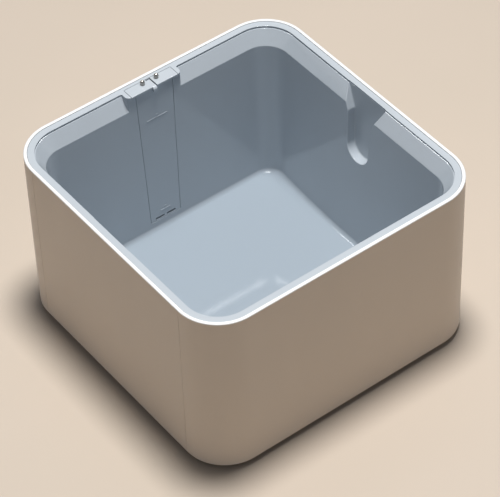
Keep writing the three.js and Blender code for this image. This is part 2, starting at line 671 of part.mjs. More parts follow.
function makeContact(sign) {
  const radius = CONTACT_DIAMETER / 2;
  const seat = zAtDrop(LEDGE_DROP + CONTACT_RECESS) + SEAT_GAP / 2;
  const shankLow = zAtDrop(NUT_DROP + NUT_THICKNESS + SEAT_GAP) - seat;
  const profile = [
    [0, shankLow],
    [CONTACT_SHANK / 2, shankLow],
    [CONTACT_SHANK / 2, 0],
    [radius, 0],
    ...arc(0, 0, 1, 0, 90, DOME_STEPS).map(([u, v]) => [u * radius, CONTACT_POST + v * CONTACT_DOME]),
  ];
  return turned(profile, contactX(sign), CONTACT_Y, seat, SMALL_ROUND_STEPS);
}

function makeSeal(sign) {
  const outer = SEAL_DIAMETER / 2;
  const inner = SEAL_BORE / 2;
  const middle = (outer + inner) / 2;
  const half = SEAL_THICKNESS / 2;
  const ringHalf = (outer - inner) / 2;
  const profile = arc(0, 0, 1, 0, 360, SEAL_STEPS).map(([u, v]) => [middle + u * ringHalf, v * half]);
  const z = zAtDrop(PLATE_UNDERSIDE_DROP) + SEAL_THICKNESS / 2 - SEAT_GAP / 2;
  return turned(profile, contactX(sign), CONTACT_Y, z, SMALL_ROUND_STEPS);
}

function makeNut(sign) {
  const low = zAtDrop(NUT_DROP + NUT_THICKNESS);
  const high = zAtDrop(NUT_DROP);
  const x = contactX(sign);
  const hexagon = uprightCylinder(NUT_ACROSS_CORNERS, low, high, x, CONTACT_Y, 6);
  const threadDiameter = CONTACT_SHANK + HOLE_CLEARANCE / 2;
  const thread = uprightCylinder(threadDiameter, low - OVERSHOOT, high + OVERSHOOT, x, CONTACT_Y);
  return hexagon.subtract(thread);
}

// A bent strip: a short leg under the plate, and a long leg down behind the cover to its slot.
function makeElectrode(sign) {
  const legTop = ELECTRODE_LEG_DROP;
  const legFoot = legTop + ELECTRODE_THICKNESS;
  const tail = CONTACT_INSET - NUT_ACROSS_CORNERS / 2;
  const footDrop = STRIP_FOOT_DROP - STRIP_WALL - SEAT_GAP;
  const front = (drop) => backFaceInset(drop) - ELECTRODE_BACK + ELECTRODE_THICKNESS;
  const rear = (drop) => backFaceInset(drop) - ELECTRODE_BACK;
  const outline = [
    [tail, legTop],
    [front(legTop), legTop],
    [front(footDrop), footDrop],
    [rear(footDrop), footDrop],
    [rear(legFoot), legFoot],
    [tail, legFoot],
  ];
  const middle = contactX(sign);
  const half = ELECTRODE_WIDTH / 2;
  const strip = prismBetween(outline, profileAt(middle - half), profileAt(middle + half));
  const low = zAtDrop(legFoot) - OVERSHOOT;
  const high = zAtDrop(legTop) + OVERSHOOT;
  return strip.subtract(uprightCylinder(CONTACT_SHANK + HOLE_CLEARANCE, low, high, middle, CONTACT_Y));
}

// The carrier lies between the cover's sides and holds both electrodes in grooves on its face.
function makeCarrier() {
  const outline = stripOutline(CARRIER_TOP_DROP, -STRIP_WALL - SEAT_GAP);
  let carrier = leaningPrism(outline, CARRIER_FRONT, CARRIER_BACK);
  for (const sign of [-1, 1]) {
    const middle = contactX(sign);
    const half = ELECTRODE_WIDTH / 2 + SEAT_GAP;
    const topDrop = CARRIER_TOP_DROP - OVERSHOOT;
    const groove = uprightRectangle(middle - half, middle + half, topDrop, STRIP_FOOT_DROP + OVERSHOOT);
    carrier = carrier.subtract(leaningPrism(groove, CARRIER_FRONT - OVERSHOOT, CARRIER_FRONT + GROOVE_DEPTH));
  }
  for (const drop of PROBE_SCREW_DROPS) {
    const bossHole = PROBE_BOSS + HOLE_CLEARANCE;
    const headHole = PROBE_SCREW_HEAD + HOLE_CLEARANCE;
    const shankHole = PROBE_SCREW_SHANK + HOLE_CLEARANCE;
    carrier = carrier
      .subtract(probeScrewBar(drop, bossHole, CARRIER_FRONT - OVERSHOOT, PROBE_BOSS_DEPTH + SEAT_GAP))
      .subtract(probeScrewBar(drop, shankHole, CARRIER_FRONT, CARRIER_BACK))
      .subtract(probeScrewBar(drop, headHole, PROBE_HEAD_SEAT, CARRIER_BACK + OVERSHOOT));
  }
  return carrier;
}

function makeProbeScrew(drop) {
  const headFront = PROBE_HEAD_SEAT + SEAT_GAP;
  const headBack = headFront + PROBE_SCREW_HEAD_THICKNESS;
  const shank = probeScrewBar(drop, PROBE_SCREW_SHANK, STRIP_WALL + 2 * SEAT_GAP, headBack);
  const head = probeScrewBar(drop, PROBE_SCREW_HEAD, headFront, headBack);
  return shank.add(head);
}

function makeBasePlate() {
  const inset = SHELL_WALL + SEAT_GAP;
  let plate = loft([
    { side: inset, z: BASE_UNDERSIDE_Z, corner: SHELL_CORNER - inset },
    { side: inset, z: BASE_TOP_Z, corner: SHELL_CORNER - inset },
  ]);
  const low = BASE_UNDERSIDE_Z - OVERSHOOT;
  const high = BASE_TOP_Z + OVERSHOOT;
  for (const [x, y] of baseScrewPlaces) {
    plate = plate.subtract(uprightCylinder(BASE_SCREW_SHANK + HOLE_CLEARANCE, low, high, x, y));
  }
  for (const [x, y] of footPlaces) {
    plate = plate.subtract(uprightCylinder(FOOT_STEM + HOLE_CLEARANCE, low, high, x, y));
  }
  return plate;
}

// A rubber foot with a rounded sole and a stem that snaps through the base plate.
function makeFoot([x, y]) {
  const radius = FOOT_DIAMETER / 2;
  const top = BASE_UNDERSIDE_Z - SEAT_GAP;
  const barbLow = BASE_TOP_Z + SEAT_GAP / 2;
  const profile = [
    [0, 0],
    ...arc(radius - FOOT_ROUNDING, FOOT_ROUNDING, FOOT_ROUNDING, -90, 0, FILLET_STEPS),
    [radius, top],
    [FOOT_STEM / 2, top],
    [FOOT_STEM / 2, barbLow],
    [FOOT_BARB / 2, barbLow],
    [FOOT_STEM / 2, barbLow + FOOT_BARB_HEIGHT],
    [0, barbLow + FOOT_BARB_HEIGHT],
  ];
  return turned(profile, x, y, 0);
}

// A pan-head screw driven up through the base plate, with a cross recess in its head.
function makeBaseScrew([x, y]) {
  const headTop = BASE_UNDERSIDE_Z - SEAT_GAP;
  const headLow = headTop - BASE_SCREW_HEAD_THICKNESS;
  const radius = BASE_SCREW_HEAD / 2;
  const tip = headTop + BASE_SCREW_LENGTH;
  const profile = [
    [0, headLow],
    [BASE_SCREW_HEAD_FLAT / 2, headLow],
    [radius, headLow + BASE_SCREW_HEAD_THICKNESS / 2],
    [radius, headTop],
    [BASE_SCREW_SHANK / 2, headTop],
    [BASE_SCREW_SHANK / 2, tip - BASE_SCREW_SHANK / 2],
    [0, tip],
  ];
  const arm = CROSS_LENGTH / 2;
  const slot = CROSS_WIDTH / 2;
  const low = headLow - OVERSHOOT;
  const high = headLow + CROSS_DEPTH;
  const cross = box(x - arm, x + arm, y - slot, y + slot, low, high)
    .add(box(x - slot, x + slot, y - arm, y + arm, low, high));
  return turned(profile, x, y, 0, SMALL_ROUND_STEPS).subtract(cross);
}

const finishes = {
  whitePlastic: { color: 0xeef0f0, roughness: 0.42, metalness: 0 },
  basinPlastic: { color: 0xa9b4bf, roughness: 0.36, metalness: 0 },
  darkPlastic: { color: 0x4a4f55, roughness: 0.6, metalness: 0 },
  steel: { color: 0xc9c7c2, roughness: 0.25, metalness: 1 },
  rubber: { color: 0x2a2b2d, roughness: 0.85, metalness: 0 },
};

const tank = new THREE.Group();

function addPiece(group, name, body, finish) {
  const mesh = new THREE.Mesh(geometryOf(body), new THREE.MeshStandardMaterial(finishes[finish]));
  mesh.name = name;
  group.add(mesh);
}

const housing = new THREE.Group();
addPiece(housing, 'outer_shell', makeShell(), 'whitePlastic');
addPiece(housing, 'base_plate', makeBasePlate(), 'darkPlastic');
const footNames = ['foot_front_left', 'foot_front_right', 'foot_rear_left', 'foot_rear_right'];
footPlaces.forEach((place, i) => addPiece(housing, footNames[i], makeFoot(place), 'rubber'));
baseScrewPlaces.forEach((place, i) => {
  addPiece(housing, `base_screw_${i + 1}`, makeBaseScrew(place), 'steel');
});

const basin = new THREE.Group();
addPiece(basin, 'basin_liner', makeBasin(), 'basinPlastic');

const probe = new THREE.Group();
addPiece(probe, 'probe_cover', makeProbeCover(), 'basinPlastic');
addPiece(probe, 'electrode_carrier', makeCarrier(), 'darkPlastic');
for (const [sign, side] of [[-1, 'left'], [1, 'right']]) {
  addPiece(probe, `contact_${side}`, makeContact(sign), 'steel');
  addPiece(probe, `contact_seal_${side}`, makeSeal(sign), 'rubber');
  addPiece(probe, `contact_nut_${side}`, makeNut(sign), 'steel');
  addPiece(probe, `electrode_${side}`, makeElectrode(sign), 'steel');
}
PROBE_SCREW_DROPS.forEach((drop, i) => {
  addPiece(probe, `probe_screw_${i + 1}`, makeProbeScrew(drop), 'steel');
});

tank.add(housing, basin, probe);

export default tank;
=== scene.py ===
# %% [markdown]
# An open wash tank is three things nested in each other: a white outer shell, a blue-grey basin that
# hangs in it by a ledge, and a level probe that slides into the basin's back wall. The CAD frame holds
# their true places. This lesson dresses them: it rebuilds the moulded shapes with fine rounded edges
# and gives every piece the finish of its plastic, rubber or steel.

import math

import bmesh
import bpy
import numpy as np
from mathutils import Matrix, Vector


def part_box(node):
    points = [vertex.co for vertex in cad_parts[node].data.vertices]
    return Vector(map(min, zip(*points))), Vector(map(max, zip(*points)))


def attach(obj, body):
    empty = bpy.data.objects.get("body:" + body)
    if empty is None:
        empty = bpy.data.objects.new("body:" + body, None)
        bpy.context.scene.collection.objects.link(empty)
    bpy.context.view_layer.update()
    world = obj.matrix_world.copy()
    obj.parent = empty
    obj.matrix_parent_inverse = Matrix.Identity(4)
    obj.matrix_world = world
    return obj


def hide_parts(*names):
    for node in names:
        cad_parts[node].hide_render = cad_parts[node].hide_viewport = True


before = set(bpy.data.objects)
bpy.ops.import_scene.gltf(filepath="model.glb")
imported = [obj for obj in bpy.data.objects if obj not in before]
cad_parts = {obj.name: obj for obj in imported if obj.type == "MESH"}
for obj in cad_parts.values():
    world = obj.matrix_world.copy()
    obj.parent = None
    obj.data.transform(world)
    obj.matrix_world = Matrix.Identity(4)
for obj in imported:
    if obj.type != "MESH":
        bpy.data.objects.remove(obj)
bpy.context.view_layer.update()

# %% [markdown]
# All shapes below are worked out in millimetres and turned into metres once, when a mesh is made. Two
# measures place a point, as they do in the mould drawing: an inset is counted inwards from the shell's
# outer face, and a drop is counted downwards from the shell's rim. The overall sizes come from the
# frame, so the looks follow the CAD when it changes.

# %% Driving sizes, in millimetres
MM = 0.001
shell_low, shell_high = (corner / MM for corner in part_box("outer_shell"))
basin_low, basin_high = (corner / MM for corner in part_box("basin_liner"))
cover_low, cover_high = (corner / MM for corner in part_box("probe_cover"))
contact_low, contact_high = (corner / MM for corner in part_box("contact_right"))

HALF = shell_high.x
RIM_Z = shell_high.z
SHELL_HEIGHT = shell_high.z - shell_low.z
SHELL_WALL = 3.1
SHELL_CORNER = 39.3
RIM_ROUNDING = 0.9
INNER_RIM_ROUNDING = 0.4
HEM_CHAMFER = 0.5

LEDGE_DROP = RIM_Z - basin_high.z
LIP_INSET = HALF - basin_high.x
LEDGE_INSET = 9.0
BAND_TOP_INSET = 9.5
BAND_TOP_DROP = 2.8
UNDERCUT_DROP = 2.5
UNDERCUT_DEPTH = 0.8
BAND_FOOT_INSET = 17.1
BAND_FOOT_DROP = 16.1
SIDE_FLOOR_INSET = 26.3
BACK_FLOOR_INSET = 21.6
SIDE_BOW = 4.7
BOW_REACH = 105.0
BASIN_FLOOR = 2.4
FLOOR_DROP = RIM_Z - basin_low.z - BASIN_FLOOR
BASIN_WALL = 2.2
LIP_FOOT_DROP = 6.5
LIP_WALL = 2.0
LEDGE_CORNER = 30.5
BAND_FOOT_CORNER = 23.5
FLOOR_CORNER = 17.0
FLOOR_FILLET = 4.0
EDGE_ROUNDING = 0.3
LIP_ROUNDING = 0.15

STRIP_WALL = 1.6
SEAM = 0.3
SEAM_CHAMFER = 0.15
print(f"tank {2 * HALF:.0f} mm wide, rim at {RIM_Z:.1f} mm, basin floor {FLOOR_DROP:.1f} mm below it")

# %% [markdown]
# The photograph was taken from above one corner with a long lens. These angles were fitted to the
# tank's own edges, so the picture frame shows the tank at the same size and tilt. The camera is built
# from three directions: backwards out of the lens, to the right and up, turned by a small roll.

# %% Camera
CAMERA_AZIMUTH = math.radians(-35.98)
CAMERA_ELEVATION = math.radians(45.26)
CAMERA_ROLL = math.radians(-2.15)
CAMERA_DISTANCE = 2.2734
CAMERA_TARGET = Vector((0.0420, 0.0524, shell_low.z * MM))
CAMERA_LENS = 186.22


def camera_axes(azimuth, elevation, roll):
    """Right, up and backwards of a camera that looks down at an angle, turned about its own axis."""
    level = math.cos(elevation)
    back = Vector((math.sin(azimuth) * level, -math.cos(azimuth) * level, math.sin(elevation)))
    flat_right = Vector((math.cos(azimuth), math.sin(azimuth), 0.0))
    flat_up = back.cross(flat_right)
    right = flat_right * math.cos(roll) + flat_up * math.sin(roll)
    return right, back.cross(right), back


right, up, back = camera_axes(CAMERA_AZIMUTH, CAMERA_ELEVATION, CAMERA_ROLL)
camera = bpy.data.objects.new("camera", bpy.data.cameras.new("camera"))
camera.data.lens = CAMERA_LENS
camera.data.clip_start = 0.05
camera.data.clip_end = 50.0
camera.matrix_world = Matrix.LocRotScale(
    CAMERA_TARGET + back * CAMERA_DISTANCE, Matrix((right, up, back)).transposed().to_quaternion(), None
)
bpy.context.scene.collection.objects.link(camera)
bpy.context.scene.camera = camera
bpy.context.scene.view_settings.view_transform = "Standard"
print("camera at", [round(v, 3) for v in camera.location])

# %% [markdown]
# Every new piece is a closed surface computed as a grid: rows of points, each row a closed outline of
# the piece, stacked from one end of it to the other. Quads join neighbouring rows, and the first and
# last row are closed by one flat face each, unless the stack runs round and closes on itself.


# %% From grids to meshes
def solid_from_rows(name, rows, ring=False):
    """A closed mesh over rows of points, an array of k rows by n points by 3, in millimetres.

    Point (i, j) is joined to (i, j + 1) and (i + 1, j), with j wrapping round. With ring, row k - 1
    is joined to row 0 again, and otherwise the two end rows become flat faces.
    """
    rows = np.asarray(rows, float)
    count, width = rows.shape[:2]
    below = np.arange(count * width).reshape(count, width)
    above = np.roll(below, -1, axis=0)
    if not ring:
        below, above = below[:-1], above[:-1]
    quads = np.stack([below, np.roll(below, -1, axis=1), np.roll(above, -1, axis=1), above], axis=-1)
    faces = quads.reshape(-1, 4).tolist()
    if not ring:
        last = (count - 1) * width
        faces += [list(range(width))[::-1], list(range(last, last + width))]
    mesh = bpy.data.meshes.new(name)
    mesh.from_pydata((rows.reshape(-1, 3) * MM).tolist(), [], faces)
    tidy = bmesh.new()
    tidy.from_mesh(mesh)
    bmesh.ops.remove_doubles(tidy, verts=tidy.verts, dist=1e-7)
    bmesh.ops.dissolve_degenerate(tidy, edges=tidy.edges, dist=1e-7)
    bmesh.ops.recalc_face_normals(tidy, faces=tidy.faces)
    tidy.to_mesh(mesh)
    tidy.free()
    piece = bpy.data.objects.new(name, mesh)
    bpy.context.scene.collection.objects.link(piece)
    return piece


def combine(piece, other, operation):
    """Joins other to piece, or cuts it away, and keeps the result's mesh.

    The manifold solver takes closed solids only, and gives a closed solid back.
    """
    modifier = piece.modifiers.new("combine", "BOOLEAN")
    modifier.solver = "MANIFOLD"
    modifier.operation = operation
    modifier.object = other
    evaluated = piece.evaluated_get(bpy.context.evaluated_depsgraph_get())
    mesh = bpy.data.meshes.new_from_object(evaluated)
    piece.modifiers.clear()
    old = piece.data
    piece.data = mesh
    mesh.name = piece.name
    bpy.data.meshes.remove(old)
    bpy.data.objects.remove(other)
    return piece


def join(piece, *others):
    """Each of the others becomes part of piece."""
    for other in others:
        combine(piece, other, "UNION")
    return piece


def cut(piece, *others):
    """Each of the others is cut out of piece."""
    for other in others:
        combine(piece, other, "DIFFERENCE")
    return piece


SHARP_ANGLE = math.radians(32)


def soften(piece):
    """Smooth shading up to SHARP_ANGLE, with normals weighted so that large flat faces stay flat."""
    piece.data.shade_smooth()
    piece.data.set_sharp_from_angle(angle=SHARP_ANGLE)
    weighted = piece.modifiers.new("weighted normals", "WEIGHTED_NORMAL")
    weighted.keep_sharp = True
    weighted.weight = 90


def open_edges(piece):
    """How many edges of a mesh don't have exactly two faces: none on a closed solid."""
    check = bmesh.new()
    check.from_mesh(piece.data)
    count = sum(len(edge.link_faces) != 2 for edge in check.edges)
    check.free()
    return count


def say(label, piece):
    """Prints how many faces a piece has, and how many open edges."""
    print(f"{label}: {len(piece.data.polygons)} faces, {open_edges(piece)} open edges")


# %% [markdown]
# The tank's plan is a rounded square, so one function draws all of its levels. A level is given by its
# inset at the sides, its inset at the back and front, its drop and its corner radius. A moulded part
# has no knife edges, so a second function rounds the corners of a profile before it is swept.

# %% Rounded-square sweeps
CORNER_STEPS = 18


def plan_columns(extra=()):
    """The places round a rounded square, as (corner, angle, shift): shift runs on past the arc's end.

    Each corner has an even fan of angles. The extra places are put in by their angle and shift.
    """
    places = [
        (corner, (corner + step / CORNER_STEPS) * math.pi / 2, 0.0)
        for corner in range(4)
        for step in range(CORNER_STEPS + 1)
    ]
    return np.array(sorted([*places, *extra], key=lambda p: (p[0], p[1], p[2])))


def sweep_rows(levels, columns):
    """One row of points for each level (side inset, back inset, drop, corner radius).

    A point is the centre of its corner, plus the radius along its angle, plus its shift along the
    straight side: x = sx (half - side - r) + r cos a - shift sin a, and y likewise.
    """
    side, back, drop, radius = (np.asarray(levels, float)[:, k, None] for k in range(4))
    corner, angle, shift = (columns[None, :, k] for k in range(3))
    sign_x = np.where((corner == 0) | (corner == 3), 1.0, -1.0)
    sign_y = np.where(corner < 2, 1.0, -1.0)
    x = sign_x * (HALF - side - radius) + radius * np.cos(angle) - shift * np.sin(angle)
    y = sign_y * (HALF - back - radius) + radius * np.sin(angle) + shift * np.cos(angle)
    return np.stack([x, y, RIM_Z - drop + 0 * x], axis=-1)


def rounded_profile(points, steps=5):
    """A profile with its corners rounded: points are (side, back, drop, corner radius, rounding).

    An arc of radius r in a corner of opening angle f touches both legs at r / tan(f / 2) from the
    corner. It is the curve (p0 (1-s)^2 + 2 w p s (1-s) + p2 s^2) / (the weights' sum), w = sin(f / 2).
    """
    points = np.asarray(points, float)
    levels = []
    for i, (*level, rounding) in enumerate(points):
        level = np.array(level)
        if rounding == 0 or i in (0, len(points) - 1):
            levels.append(level[None])
            continue
        legs = [points[i + k, :4] - level for k in (-1, 1)]
        units = [leg / math.hypot(leg[0], leg[2]) for leg in legs]
        opening = math.acos(np.clip(units[0][0] * units[1][0] + units[0][2] * units[1][2], -1, 1))
        reach = rounding / math.tan(opening / 2)
        s = np.linspace(0, 1, steps + 1)[:, None]
        near, far, middle = (1 - s) ** 2, s**2, 2 * s * (1 - s) * math.sin(opening / 2)
        arc = near * (level + units[0] * reach) + middle * level + far * (level + units[1] * reach)
        levels.append(arc / (near + middle + far))
    return np.concatenate(levels)


# %% [markdown]
# The outer shell is one closed profile carried round the plan. Its rim is rounded outside and a little
# inside, and its hem has the small chamfer that catches the light along the floor. Two faint upright
# parting lines, where the mould's slides met, are real grooves on each side face at the corners' ends.

# %% Outer shell
PARTING_DEPTH = 0.6
PARTING_HALF_WIDTH = 0.3
PARTING_TOP = (1.6, 2.0)
PARTING_FOOT = (2.6, 3.0)
HEM_WIDTH = 1.6


def parting_columns():
    """Three columns at each end of the two side faces: the two lips of a groove and its bottom."""
    places = []
    for face_angle, before, after in ((0.0, 3, 0), (math.pi, 1, 2)):
        for k in (-1, 0, 1):
            offset = PARTING_HALF_WIDTH * (k + 1) + PARTING_HALF_WIDTH / 2
            places.append((after, face_angle, -offset))
            places.append((before, face_angle if before != 3 else 2 * math.pi, offset))
    return places


def shell_levels():
    """The shell's closed profile, outside up and inside down, as sweep levels."""
    outline = [
        (HEM_WIDTH, SHELL_HEIGHT, 0.0),
        (HEM_CHAMFER, SHELL_HEIGHT, 0.15),
        (0.0, SHELL_HEIGHT - HEM_CHAMFER, 0.15),
        (0.0, SHELL_HEIGHT - PARTING_FOOT[0], 0.0),
        (0.0, SHELL_HEIGHT - PARTING_FOOT[1], 0.0),
        (0.0, PARTING_TOP[1], 0.0),
        (0.0, PARTING_TOP[0], 0.0),
        (0.0, 0.0, RIM_ROUNDING),
        (SHELL_WALL, 0.0, INNER_RIM_ROUNDING),
        (SHELL_WALL, SHELL_HEIGHT, 0.25),
        (HEM_WIDTH, SHELL_HEIGHT, 0.0),
    ]
    levels = rounded_profile([(i, i, d, SHELL_CORNER - i, r) for i, d, r in outline], 4)
    return levels[:-1]


def shell_rows():
    """The shell's rows, with the parting grooves pressed into the outer face between rim and hem."""
    columns = plan_columns(parting_columns())
    levels = shell_levels()
    rows = sweep_rows(levels, columns)
    shift = np.abs(columns[:, 2])
    bottom = np.abs(shift - 1.5 * PARTING_HALF_WIDTH) < 0.01
    drop = levels[:, 2]
    between = (drop > PARTING_TOP[1] - 0.1) & (drop < SHELL_HEIGHT - PARTING_FOOT[1] + 0.1)
    outside = (levels[:, 0] < 0.01) & between
    press = np.outer(outside, bottom) * PARTING_DEPTH
    rows[..., 0] -= np.sign(rows[..., 0]) * press
    return rows


shell = solid_from_rows("tank_shell", shell_rows(), ring=True)
say("shell", shell)

# %% [markdown]
# The shell also carries eight screw bosses for the base plate, each with a web and a tall thin rib above
# it that the basin's lip rests on. They show when the basin is lifted out. Each is a solid of its own
# that runs a little way into the wall, so that a union makes them one moulding with the shell.

# %% Bosses and ribs of the shell
BASE_RECESS = 0.4
BASE_THICKNESS = 2.5
BASE_UNDERSIDE_Z = shell_low.z + BASE_RECESS
BASE_TOP_Z = BASE_UNDERSIDE_Z + BASE_THICKNESS
BOSS_RADIUS = 4.0
BOSS_INSET = 9.0
BOSS_HEIGHT = 18.0
SCREW_HOLE_RADIUS = 1.8
BOSS_BORE_DEPTH = 10.4
WEB_THICKNESS = 4.0
RIB_THICKNESS = 2.0
BLOCK_CHAMFER = 0.3
SCREW_FROM_CORNER = 70.0
SCREW_OFFSET = HALF - SCREW_FROM_CORNER
ROUND_STEPS = 48


def turned(name, profile, x, y, z, steps=ROUND_STEPS):
    """A solid of revolution about an upright axis: the profile is a list of (radius, height)."""
    angle = np.arange(steps) * 2 * math.pi / steps
    radius, height = (np.asarray(profile, float)[:, k, None] for k in range(2))
    across, along = x + radius * np.cos(angle), y + radius * np.sin(angle)
    return solid_from_rows(name, np.stack([across, along, z + height + 0 * angle], axis=-1))


def block(name, low, high):
    """A block between two corners, with its upright edges and its top and bottom edges chamfered."""
    low, high = np.array(low, float), np.array(high, float)
    chamfer = BLOCK_CHAMFER

    def outline(inset):
        a, b, c = low[:2] + inset, high[:2] - inset, chamfer
        corners = [(a[0] + c, a[1]), (b[0] - c, a[1]), (b[0], a[1] + c), (b[0], b[1] - c)]
        return corners + [(b[0] - c, b[1]), (a[0] + c, b[1]), (a[0], b[1] - c), (a[0], a[1] + c)]

    levels = [(chamfer, low[2]), (0, low[2] + chamfer), (0, high[2] - chamfer), (chamfer, high[2])]
    return solid_from_rows(name, [[(*point, z) for point in outline(inset)] for inset, z in levels])


def wall_block(place, width, inset, low_z, high_z):
    """An upright block from inside the nearest wall inwards to an inset."""
    along = 0 if abs(place[1]) > abs(place[0]) else 1
    across = 1 - along
    sign = math.copysign(1, place[across])
    ends = sorted((sign * (HALF - inset), sign * (HALF - SHELL_WALL / 2)))
    low, high = [0, 0, low_z], [0, 0, high_z]
    low[along], high[along] = place[along] - width / 2, place[along] + width / 2
    low[across], high[across] = ends
    return block("rib", low, high)


signs = (-1, 1)
screw_places = []
for sign in signs:
    for end in signs:
        along, across = end * SCREW_OFFSET, sign * (HALF - BOSS_INSET)
        screw_places += [(along, across), (across, along)]
boss_low = BASE_TOP_Z + SEAM
for place in screw_places:
    web = wall_block(place, WEB_THICKNESS, BOSS_INSET, boss_low, boss_low + BOSS_HEIGHT - 1)
    rib_inset, rib_top = LIP_INSET + LIP_WALL + SEAM, RIM_Z - LIP_FOOT_DROP - SEAM
    rib = wall_block(place, RIB_THICKNESS, rib_inset, boss_low + 0.1, rib_top)
    edge, bore, depth = BOSS_RADIUS, SCREW_HOLE_RADIUS, BOSS_BORE_DEPTH
    profile = [(edge - 0.3, 0), (edge, 0.3), (edge, BOSS_HEIGHT - 0.5), (edge - 0.5, BOSS_HEIGHT)]
    boss = turned("boss", [(0, 0), *profile, (0, BOSS_HEIGHT)], *place, boss_low)
    hole = turned("hole", [(0, -5), (bore, -5), (bore, depth), (0, depth + 1)], *place, boss_low)
    join(shell, cut(join(boss, web, rib), hole))
say("shell with ribs", shell)

# %% [markdown]
# The basin starts as two stacks of outlines. One is the outside, filled from the floor up to the ledge
# with the lip that turns down behind the rim. The other is the space inside, with the fillet along the
# floor, the leaning walls, the slanting band and the small drop line under the ledge. Taking the second
# from the first leaves walls of an even thickness. The two side walls aren't flat: lower down they bow
# inwards towards their middle, as the curved floor edge in the photograph shows.


# %% Basin walls
BAND_FOOT_ROUNDING = 2.0
UNDERCUT_HEIGHT = 0.9
UNDERCUT_END_HEIGHT = 1.25
SIDE_COLUMNS = np.arange(8.0, 96.0, 12.0)


def even(inset, drop, corner, rounding=0.0):
    """A corner of a profile with the same inset at the sides and at the back."""
    return inset, inset, drop, corner, rounding


def arc_levels(side, back, drop, corner, radius, start, end, steps):
    """Levels along an arc: start and end are angles in degrees, 0 towards the wall and 90 downwards."""
    angle = np.radians(np.linspace(start, end, steps + 1))
    reach = radius * np.cos(angle)
    return [tuple(level) for level in np.stack(
        [side - reach, back - reach, drop + radius * np.sin(angle), corner + reach], axis=-1)]


def inside_levels():
    """The space inside the basin, from its floor up past the ledge."""
    fillet = FLOOR_FILLET
    side = SIDE_FLOOR_INSET - SIDE_BOW + fillet
    undercut, ledge = BAND_TOP_INSET - UNDERCUT_DEPTH, LEDGE_INSET + 0.1
    rounding_drop = LEDGE_DROP + EDGE_ROUNDING
    floor_arc = arc_levels(
        side, BACK_FLOOR_INSET + fillet, FLOOR_DROP - fillet, FLOOR_CORNER - fillet, fillet, 90, 2, 8)
    walls = rounded_profile([
        (*floor_arc[-1], 0.0),
        even(BAND_FOOT_INSET, BAND_FOOT_DROP, BAND_FOOT_CORNER, BAND_FOOT_ROUNDING),
        even(BAND_TOP_INSET, BAND_TOP_DROP, LEDGE_CORNER, 0.2),
        even(undercut, UNDERCUT_DROP, LEDGE_CORNER),
        even(undercut, UNDERCUT_DROP - UNDERCUT_HEIGHT, LEDGE_CORNER),
        even(ledge, UNDERCUT_DROP - UNDERCUT_END_HEIGHT, LEDGE_CORNER, 0.1),
        even(ledge, rounding_drop, LEDGE_CORNER),
    ])
    angles = np.radians([15, 35, 55, 72])
    arc = EDGE_ROUNDING * (1 - np.stack([np.cos(angles), 1 - np.sin(angles)], axis=-1))
    ledge_arc = [even(ledge - w, rounding_drop - v, LEDGE_CORNER)[:4] for w, v in arc]
    last = ledge_arc[-1]
    flare = (last[0] - 2.5, last[1] - 2.5, last[2] - 6, last[3])
    return np.array(floor_arc[:-1] + [tuple(level) for level in walls] + ledge_arc + [flare])


def outside_levels():
    """The outside of the basin, filled: leaning walls, the band, the lip turned down, and the ledge."""
    band_length = math.hypot(BAND_FOOT_INSET - BAND_TOP_INSET, BAND_FOOT_DROP - BAND_TOP_DROP)
    outwards = BASIN_WALL * (BAND_FOOT_DROP - BAND_TOP_DROP) / band_length
    downwards = BASIN_WALL * (BAND_FOOT_INSET - BAND_TOP_INSET) / band_length
    fillet = FLOOR_FILLET
    side = SIDE_FLOOR_INSET - SIDE_BOW + fillet
    floor_arc = arc_levels(
        side - BASIN_WALL, BACK_FLOOR_INSET + fillet - BASIN_WALL,
        FLOOR_DROP + BASIN_FLOOR - fillet, FLOOR_CORNER - fillet + BASIN_WALL, fillet, 90, 2, 6,
    )
    lip_inner = LIP_INSET + LIP_WALL
    underside = LEDGE_DROP + BASIN_WALL
    band_foot, band_top = BAND_FOOT_INSET - outwards, BAND_TOP_INSET - outwards
    ledge_foot = BAND_TOP_INSET - BASIN_WALL
    upper = rounded_profile([
        (*floor_arc[-1], 0.0),
        even(band_foot, BAND_FOOT_DROP + downwards, BAND_FOOT_CORNER + outwards, BAND_FOOT_ROUNDING),
        even(band_top, BAND_TOP_DROP + downwards, LEDGE_CORNER + outwards, 0.3),
        even(ledge_foot, underside, LEDGE_CORNER + BASIN_WALL, 0.2),
        even(lip_inner, underside, SHELL_CORNER - lip_inner, 0.4),
        even(lip_inner, LIP_FOOT_DROP, SHELL_CORNER - lip_inner, 0.3),
        even(LIP_INSET, LIP_FOOT_DROP, SHELL_CORNER - LIP_INSET, 0.3),
        even(LIP_INSET, LEDGE_DROP, SHELL_CORNER - LIP_INSET, LIP_ROUNDING),
        even(LEDGE_INSET, LEDGE_DROP, LEDGE_CORNER),
    ], 3)
    return np.array(floor_arc[:-1] + [tuple(level) for level in upper])


def bow(y, drop):
    """How far a side wall is pressed in at a place.

    It is b s (1 - (y / reach)^2), with s the share of the way from the band's foot to the floor.
    """
    share = np.clip((drop - BAND_FOOT_DROP) / (FLOOR_DROP - BAND_FOOT_DROP), 0, 1)
    return SIDE_BOW * share * np.clip(1 - (y / BOW_REACH) ** 2, 0, 1)


def basin_rows(levels):
    """A sweep with columns all along the side walls, so that they can bow inwards in the middle."""
    sides = [place for d in SIDE_COLUMNS for place in (
        (0, 0.0, -d), (3, 2 * math.pi, d), (1, math.pi, d), (2, math.pi, -d))]
    rows = sweep_rows(levels, plan_columns(sides))
    rows[..., 0] -= np.sign(rows[..., 0]) * bow(rows[..., 1], RIM_Z - rows[..., 2])
    return rows


basin = solid_from_rows("basin", basin_rows(outside_levels()))
say("basin outside", basin)

